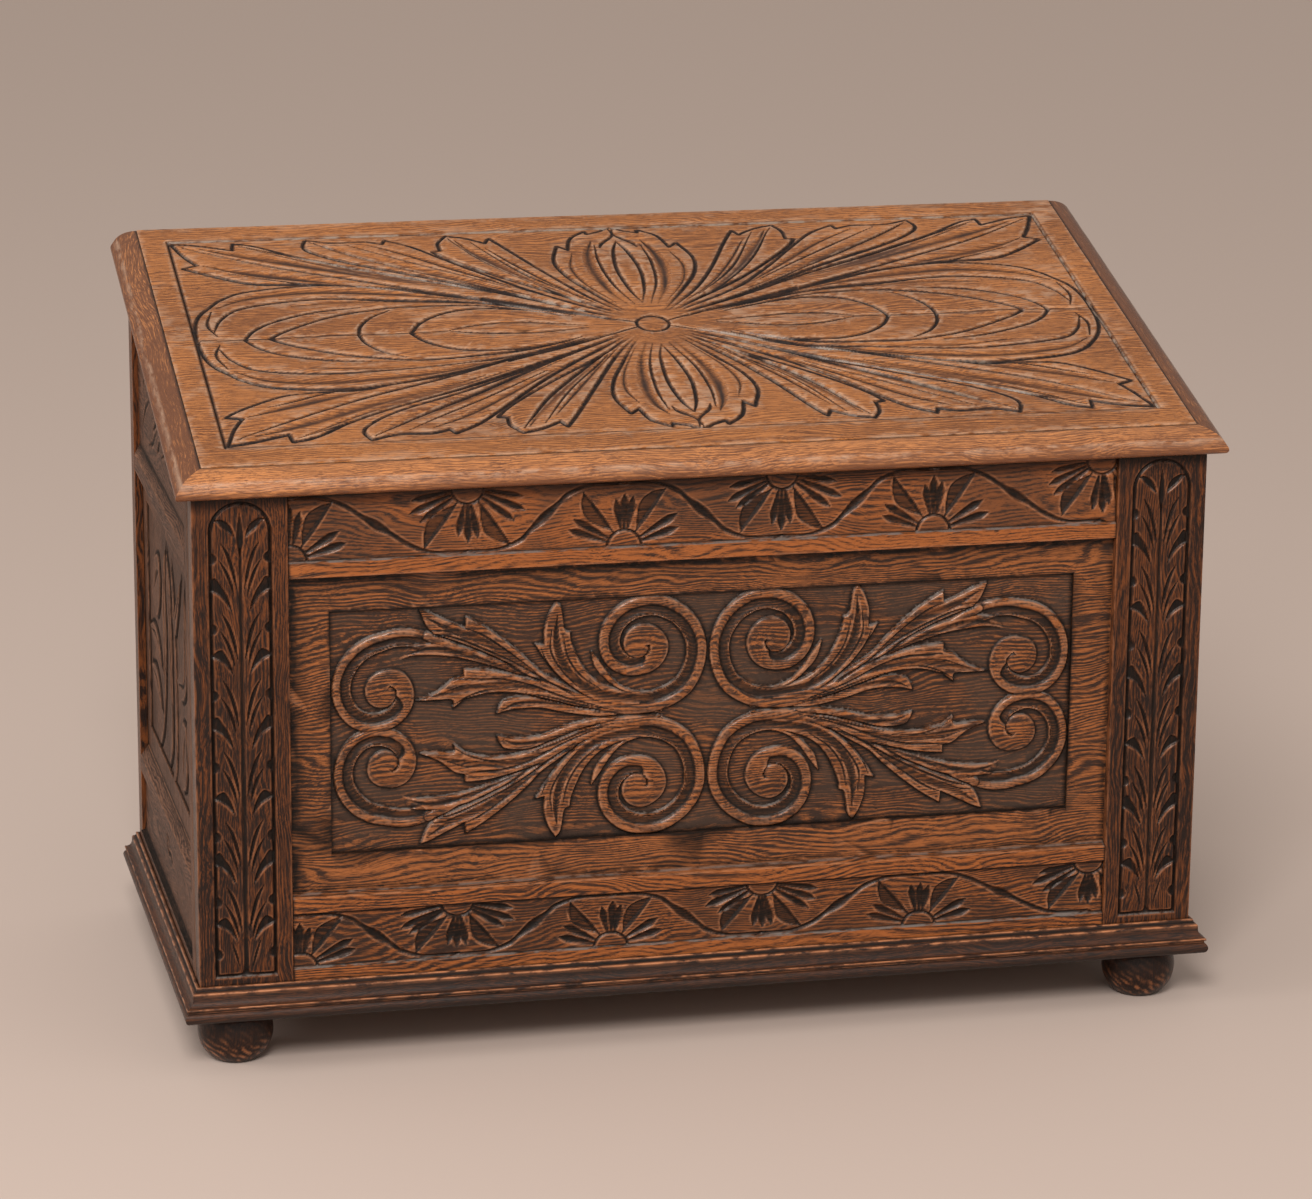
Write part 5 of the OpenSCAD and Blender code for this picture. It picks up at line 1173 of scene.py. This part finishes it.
for name, x, y in (("front_left_foot", -FOOT_X, FOOT_FRONT_Y), ("front_right_foot", FOOT_X, FOOT_FRONT_Y),
                   ("rear_left_foot", -FOOT_X, FOOT_REAR_Y), ("rear_right_foot", FOOT_X, FOOT_REAR_Y)):
    draw = np.random.default_rng(len(name) + int(x > 0))
    upper = np.linspace(2.5, FOOT_H - 0.01, 52)
    heights = np.concatenate([SOLE_H, upper])[:, None]
    radii = bun_radius(heights) - np.array(SOLE_IN + [0] * len(upper))[:, None]
    radii -= 0.07 * np.abs(np.sin(heights * 1.9)) * (radii > 20)
    turns = np.linspace(0, 2 * pi, 96, endpoint=False)[None, :]
    dents = round_waves(draw, range(2, 7), (0.1, 0.4), turns, heights) / 5
    reach = radii - np.clip(dents, 0, 1) * 0.35
    foot_points = np.stack([x + reach * np.cos(turns), y + reach * np.sin(turns),
                            np.broadcast_to(heights, reach.shape)], -1)
    index = np.arange(reach.size).reshape(reach.shape)
    nxt = np.roll(index, -1, axis=1)
    quads = np.stack([index[:-1], nxt[:-1], nxt[1:], index[1:]], -1).reshape(-1, 4)
    corners = np.concatenate([quads.ravel(), index[0, ::-1], index[-1]])
    starts = np.append(np.arange(0, 4 * len(quads) + 1, 4), 4 * len(quads) + reach.shape[1])
    low_part = np.clip((30 - heights) / 20, 0, 1) * np.clip(heights / 5, 0, 1)
    specks = round_waves(draw, (9, 13, 17, 22, 26), (0.4, 1.2), turns, heights) / 2
    colours = np.zeros((*reach.shape, 3))
    colours[..., 0] = (0.08 + 0.9 * low_part) * np.clip(specks, 0, 1)
    foot = fill_mesh(name + "_turned", foot_points.reshape(-1, 3), corners, starts,
                     colours.reshape(-1, 3), foot_oak)
    foot.data.shade_smooth()
    foot.data.set_sharp_from_angle(angle=radians(60))
    wood_piece(foot, name)

# The floor of the chest and what carries it: three tongued boards on four ledgers, and a block in
# each corner that takes a foot's spigot. Clean unstained oak that has darkened a little with age.
INNER = {"pale": (0.32, 0.165, 0.075), "dark": (0.15, 0.072, 0.032), "rubbed": (0.40, 0.23, 0.12),
         "wax": (0.05, 0.03, 0.02), "gloss": 0.55, "rubbing": 0.4, "figure": 0.6, "shine": 0.15,
         "polish": 0.0}
inner_oak = oak_material("inner_oak", "x", (1.9, 6.4, 4.7), **INNER)
inner_cross_oak = oak_material("inner_cross_oak", "y", (2.9, 8.4, 1.7), **INNER)
for node in ("bottom_board_front", "bottom_board_middle", "bottom_board_rear", "front_ledger",
             "rear_ledger"):
    dressed(node, inner_oak)
for node in ("left_ledger", "right_ledger", "front_left_block", "front_right_block", "rear_left_block",
             "rear_right_block"):
    dressed(node, inner_cross_oak)

# The lid: one broad oak board in a thumb moulding, lighter than the chest because light has bleached
# it. Long feathered leaves run from a small boss to the four corners, with a bud on each short side
# and nested almonds on each long side, cut shallow with gouges and veining tools.


def lid_leaves(x, y):
    """The lid's carving, over the distance from its middle: one quarter is drawn and the others
    mirror it, with the small wander of hand work."""
    field = Carving(-np.abs(x), np.abs(y), 1.2)
    tip = 1
    for points, top in (
            ([(-422, -8, tip), (-421, 24), (-414, 50), (-396, 76, tip), (-376, 90), (-340, 98),
              (-290, 101), (-230, 90), (-150, 62), (-60, 24), (-8, -8, tip)], 0.15),
            ([(-421, 198, tip), (-400, 194), (-383, 188), (-366, 181, tip), (-364, 195, tip), (-345, 188),
              (-310, 163), (-270, 142), (-200, 108), (-120, 66), (-50, 26), (-12, 6, tip), (-60, 23),
              (-150, 60), (-230, 90), (-290, 104), (-330, 106), (-360, 110), (-388, 126),
              (-416, 147, tip), (-402, 152, tip), (-412, 172)], 0.15),
            ([(-295, 197, tip), (-270, 189), (-240, 190), (-222, 184, tip), (-219, 192, tip), (-195, 176),
              (-168, 146), (-130, 104), (-80, 58), (-12, 9, tip), (-70, 40), (-130, 76), (-200, 116),
              (-262, 148), (-290, 168), (-299, 182)], 0.12),
            ([(-160, 196, tip), (-142, 190), (-124, 178, tip), (-119, 188, tip), (-105, 162), (-80, 112),
              (-50, 60), (-10, 11, tip), (-50, 46), (-110, 96), (-145, 128), (-166, 150),
              (-176, 165, tip), (-168, 166, tip), (-168, 182)], 0.12),
            ([(9, 203, tip), (0, 203), (-12, 195), (-25, 190, tip), (-26, 196, tip), (-42, 182),
              (-49, 158, tip), (-58, 167, tip), (-67, 135), (-61, 104), (-46, 74), (-28, 42),
              (-8, 12, tip), (9, 9, tip)], 0.12)):
        field.stand(points, top, wall=2.0, rim=2.0, rim_w=2.7, always=1.0)
    # Broad gouge cuts hollow the leaves
    for points, deep in (
            ([(-396, 186, 0.8), (-350, 164, 7.0), (-300, 141, 7.5), (-240, 116, 6.0), (-176, 88, 1.0)],
             1.5),
            ([(-398, 150, 0.8), (-362, 132, 6.0), (-318, 116, 6.5), (-262, 100, 1.0)], 1.5),
            ([(-352, 184, 0.8), (-300, 152, 4.0), (-230, 118, 4.5), (-140, 74, 1.0)], 1.3),
            ([(-288, 188, 0.8), (-258, 166, 7.0), (-212, 136, 7.5), (-160, 102, 5.0), (-104, 66, 1.0)],
             1.5),
            ([(-236, 182, 0.8), (-200, 158, 4.0), (-150, 114, 4.0), (-90, 64, 1.0)], 1.3),
            ([(-152, 186, 0.8), (-136, 154, 6.0), (-104, 108, 6.5), (-62, 58, 1.5)], 1.5),
            ([(-126, 168, 0.6), (-102, 126, 3.2), (-72, 80, 3.2), (-38, 38, 0.8)], 1.2),
            ([(-24, 174, 0.8), (-32, 150, 5.5), (-34, 116, 7.0), (-27, 72, 5.0), (-12, 34, 1.0)], 1.6),
            ([(-47, 150, 0.5), (-54, 120, 3.0), (-46, 84, 3.0), (-24, 42, 0.6)], 1.0),
            ([(-399, 62, 0.8), (-368, 80, 5.0), (-300, 88, 6.0), (-210, 76, 5.0), (-120, 44, 2.0)], 1.3),
            ([(-330, 60, 0.8), (-260, 66, 4.0), (-170, 56, 4.5), (-90, 32, 1.0)], 0.9)):
        field.gouge(points, 1.5 * deep, 1.3, 0.12)
    # Veins and the lines of the almonds are single strokes of a V tool
    for points, deep in (
            ([(-412, 190, 0.5), (-330, 140, 1.3), (-230, 97, 1.5), (-120, 48, 1.4), (-40, 15, 0.6)], 1.5),
            ([(-360, 190, 0.4), (-290, 152, 1.1), (-190, 104, 1.2), (-90, 52, 0.5)], 1.2),
            ([(-378, 132, 0.4), (-320, 108, 1.1), (-250, 94, 0.5)], 1.1),
            ([(-292, 192, 0.5), (-232, 148, 1.2), (-150, 92, 1.3), (-60, 34, 0.6)], 1.4),
            ([(-258, 184, 0.4), (-200, 142, 1.0), (-120, 84, 0.5)], 1.1),
            ([(-158, 190, 0.5), (-124, 128, 1.2), (-74, 68, 1.2), (-20, 16, 0.6)], 1.4),
            ([(-138, 182, 0.4), (-104, 118, 1.0), (-56, 56, 0.5)], 1.1),
            ([(0, 173, 0.6), (-7, 150, 1.4), (-11, 112, 1.4), (-7, 70, 1.3), (0, 42, 0.6)], 1.5),
            ([(-2, 201, 0.6), (-1, 186, 1.2), (-14, 170, 1.6), (-18, 160, 0.6)], 1.3),
            ([(-22, 166, 0.4), (-25, 130, 1.1), (-21, 84, 1.1), (-8, 40, 0.5)], 1.2),
            ([(-406, 16, 0.5), (-396, 42, 1.3), (-372, 62, 1.4), (-300, 73, 1.4), (-220, 66, 1.4),
              (-140, 52, 1.3), (-70, 23, 0.6)], 1.4),
            ([(-381, 0, 1.4), (-370, 17, 1.4), (-350, 32, 1.4), (-310, 47, 1.3), (-265, 54, 0.6)], 1.4),
            ([(-358, 0, 1.5), (-340, 14, 1.5), (-300, 35, 1.5), (-262, 47, 1.4), (-220, 53, 1.4),
              (-150, 47, 1.3), (-100, 32, 1.2), (-72, 20, 0.5)], 1.5),
            ([(-273, 0, 1.4), (-269, 17, 1.4), (-257, 34, 1.3), (-238, 47, 0.6)], 1.4),
            ([(-225, 0, 1.6), (-213, 20, 1.6), (-190, 36, 1.5), (-158, 42, 1.4), (-118, 37, 1.3),
              (-82, 24, 0.6)], 1.5),
            ([(-190, 1, 0.6), (-160, 9, 1.2), (-125, 11, 1.2), (-92, 7, 1.0), (-62, 2, 0.5)], 1.3),
            ([(-424, 0, 0.7), (-330, 0, 0.8), (-192, 0, 0.7)], 0.9),
            ([(-404, 8, 0.5), (-410, 30, 1.1), (-404, 56, 0.5)], 1.1)):
        field.gouge([(a, b, 1.7 * half) for a, b, half in points], 1.6 * deep, 1.6)
    # Round the boss the wood is smooth again, but for four strokes that run up to its ring
    away = np.hypot(field.x, field.y)
    boss, ring, smooth_to = 14, 15.2, 24
    calm = np.clip((away - smooth_to) / 56, 0, 1)
    field.depth = 0.5 + (field.depth - 0.5) * calm
    field.ink *= calm ** 2
    field.gouge([(-150, 64, 2.2), (-100, 43, 2.2), (-50, 20, 2.0), (-15, 5, 1.2)], 1.8, 1.6)
    # The boss is a low dome in a ring
    field.depth = np.where(away < boss, (away / boss) ** 2, field.depth)
    field.depth += 1.8 * np.clip(1 - np.abs(away - ring) / 2.0, 0, 1)
    field.ink = np.where(away < ring + 1.8, np.clip(2.2 - np.abs(away - ring), 0, 1), field.ink)
    return field.face()


# The lid's grey colour for walls that face the way lit is a painted highlight
GOLDEN = {"pale": (0.50, 0.190, 0.058), "dark": (0.150, 0.052, 0.020), "rubbed": (0.62, 0.40, 0.27),
          "wax": (0.014, 0.011, 0.011), "dust_and_shade": (0.088, 0.040, 0.024), "painted_glint": (0.42, 0.34, 0.28)}
lid_oak = oak_material("lid_oak", "x", (10.3, 5.6, 2.4), cover=0.50, figure=0.75, rubbing=0.6, ground=1.3,
                       gloss=0.36, polish=0.2, **GOLDEN)
LID_TOP, LID_UNDER, LID_Q0, LID_BACK_Y = 22.3, 0.3, 11.0, 228.18
LID_FIELD_X, LID_FIELD_Q, BOARD_X, BOARD_Q1, PLUMB_RUN = 424.5, (43.5, 448.5), 450.0, 476.5, 6


def lid_point(a, q, n):
    """A point of the lid from its own frame: a across, q up the slope from the carcass's front
    arris, n out of the slope."""
    return a, FRONT_Y + q * cos(SLOPE) - n * sin(SLOPE), FRONT_TOP + q * sin(SLOPE) + n * cos(SLOPE)


def lid_board_place(a, q, d):
    """Points of the lid board; its back edge is cut plumb, so the lower ones lie further forward."""
    back = np.clip((q - (BOARD_Q1 - PLUMB_RUN)) / PLUMB_RUN, 0, 1)
    return lid_point(a, q - back * d * np.tan(SLOPE), LID_TOP - d)


u = lines(-BOARD_X, BOARD_X, cell * 0.9, stops=(-LID_FIELD_X, LID_FIELD_X))
v = lines(LID_Q0, BOARD_Q1, cell * 0.9, stops=LID_FIELD_Q)
rows, columns = inside(v, *LID_FIELD_Q), inside(u, -LID_FIELD_X, LID_FIELD_X)
field_u, field_v = np.meshgrid(u[columns], v[rows] - sum(LID_FIELD_Q) / 2)
wander = [rippled(u[columns], v[rows], seed, 230.0) * 1.6 for seed in (51, 52)]
# The lines wander least by the boss and by the field's border
calm = np.clip(np.hypot(field_u, field_v) / 60, 0, 1)
calm = calm * np.clip((LID_FIELD_X - np.abs(field_u)) / 20, 0, 1)
calm = calm * np.clip((202 - np.abs(field_v)) / 20, 0, 1)
depth, ink = let_in(rows, columns, lid_leaves(field_u + wander[0] * calm, field_v + wander[1] * calm))
border = Carving(*np.meshgrid(u, v), 0.0)
for ends in (((-1, 0), (1, 0)), ((-1, 1), (1, 1)), ((-1, 0), (-1, 1)), ((1, 0), (1, 1))):
    border.gouge([(LID_FIELD_X * x, LID_FIELD_Q[y], 2.0) for x, y in ends], 1.8, 1.0)
groove, border_ink = border.face()
depth += groove + planed(u, v, (53, 54), (10.0, 140.0), (0.05, 0.12))
# Cut walls that face left and toward the front take the painted highlight
lid = board("lid_board_carved", u, v, depth, LID_TOP - LID_UNDER, lid_board_place, lid_oak, cell * 0.9,
            ground=(1.3, 2.2), most=195000, dirt_and_shade=np.maximum(ink, border_ink), lit=(-0.7, -0.4))
wood_piece(lid, "lid_board", "lid")

# The thumb moulding on the lid's front and sides: oak, grooved for the board's tongue, mitred at the
# front and cut plumb at the back. A small step down from the board, a broad thumb, a quirk and a
# half-round nose, rubbed pale by hands, with a pale highlight painted along the crest of the thumb.
GRAIN["slope"] = (-SLOPE, 0, pi / 2)
# On the thumb mouldings the colour of the blue channel is painted shade on all but the faces that look up
THUMB = {**GOLDEN, "pale": (0.58, 0.225, 0.072), "dust_and_shade": (0.17, 0.056, 0.019)}
lid_side_oak = oak_material("lid_side_oak", "slope", (11.2, 3.6, 6.4), cover=0.30, figure=0.3,
                            rubbing=0.7, ground=0.6, gloss=0.30, shine=0.25, polish=0.35, **THUMB)
lid_front_oak = oak_material("lid_front_oak", "x", (12.4, 4.6, 5.4), cover=0.52, figure=0.5, rubbing=0.7,
                             ground=1.0, gloss=0.30, shine=0.3, polish=0.5, **THUMB)
THUMB_RUN, THUMB_TOP, THUMB_FOOT, NOSE_R, NOSE_N = 20.0, 21.0, 12.0, 5.0, 6.0
THUMB_PROFILE = worn_profile(
    [(0, 0), (0, THUMB_TOP)] + arc(0, THUMB_FOOT, THUMB_RUN, THUMB_TOP - THUMB_FOOT, range(80, 29, -10))
    + [(19.4, 14.9), (21.4, 12.5)] + arc(THUMB_RUN, NOSE_N, NOSE_R, NOSE_R, range(50, -81, -13))
    + [(THUMB_RUN, 0)], 0.5)
# A pale highlight is painted along the crest of the thumb in the rubbed colour; the mark also lets the
# crest in a little
CREST_OUT, CREST_H, CREST_REACH = 20.0, 14.2, 3.4
crest = np.hypot(THUMB_PROFILE[:, 0] - CREST_OUT, THUMB_PROFILE[:, 1] - CREST_H) / CREST_REACH
THUMB_PROFILE[:, 2] = np.maximum(THUMB_PROFILE[:, 2], np.clip(1 - crest, 0, 1))
front = moulding("lid_front_moulding_run", THUMB_PROFILE, lambda out, h: -BOARD_X - out,
                 lambda out, h: BOARD_X + out,
                 lambda a, out, h: lid_point(a, LID_Q0 - out, LID_UNDER + h),
                 lid_front_oak, 23, underside_shade=0.0, shade=1.0)
wood_piece(front, "lid_front_moulding", "lid")


def lid_back(out, h):
    """How far up the slope a moulding's point meets the plumb back of the lid."""
    return (LID_BACK_Y - FRONT_Y + (LID_UNDER + h) * sin(SLOPE)) / cos(SLOPE)


for name, sign in (("lid_left_moulding", -1), ("lid_right_moulding", 1)):
    run = moulding(name + "_run", THUMB_PROFILE, lambda out, h: LID_Q0 - out, lid_back,
                   lambda q, out, h: lid_point(sign * (BOARD_X + out), q, LID_UNDER + h),
                   lid_side_oak, 29, underside_shade=0.0, shade=1.0)
    wood_piece(run, name, "lid")

# Under the lid: two oak battens, each held by three steel screws, keep the board flat. Two brass butt
# hinges with steel pins are let into the back rail and the lid.
batten_oak = oak_material("batten_oak", "y", (13.1, 1.2, 3.9), **INNER)
for node in ("lid_left_batten", "lid_right_batten"):
    dressed(node, batten_oak, "lid")


def metal(name, colour, rough):
    """Old hinge metal: dull, with a darker film in patches."""
    made, tree, surface = plain_material(name)
    where = shader_node(tree, "ShaderNodeTexCoord").outputs["Object"]
    film = shader_node(tree, "ShaderNodeTexNoise", {"Vector": where, "Scale": 160.0, "Detail": 4.0})
    dull = (*[c * 0.45 for c in colour], 1)
    tint = shader_node(tree, "ShaderNodeMix", {"Factor": film.outputs["Fac"], 6: (*colour, 1), 7: dull},
                       data_type="RGBA")
    tree.links.new(tint.outputs[2], surface.inputs["Base Color"])
    surface.inputs["Metallic"].default_value = 1.0
    surface.inputs["Roughness"].default_value = rough
    return made


brass = metal("old_brass", (0.60, 0.42, 0.18), 0.38)
steel = metal("old_steel", (0.34, 0.33, 0.32), 0.45)
for side in ("left", "right"):
    dressed(side + "_hinge_frame_leaf", brass, "carcass", 0.25)
    dressed(side + "_hinge_lid_leaf", brass, "lid", 0.25)
    dressed(side + "_hinge_pin", steel, "carcass", 0.3)
dressed("frame_leaf_screws", steel, "carcass", 0.15)
dressed("lid_leaf_screws", steel, "lid", 0.15)
dressed("batten_screws", steel, "lid", 0.15)
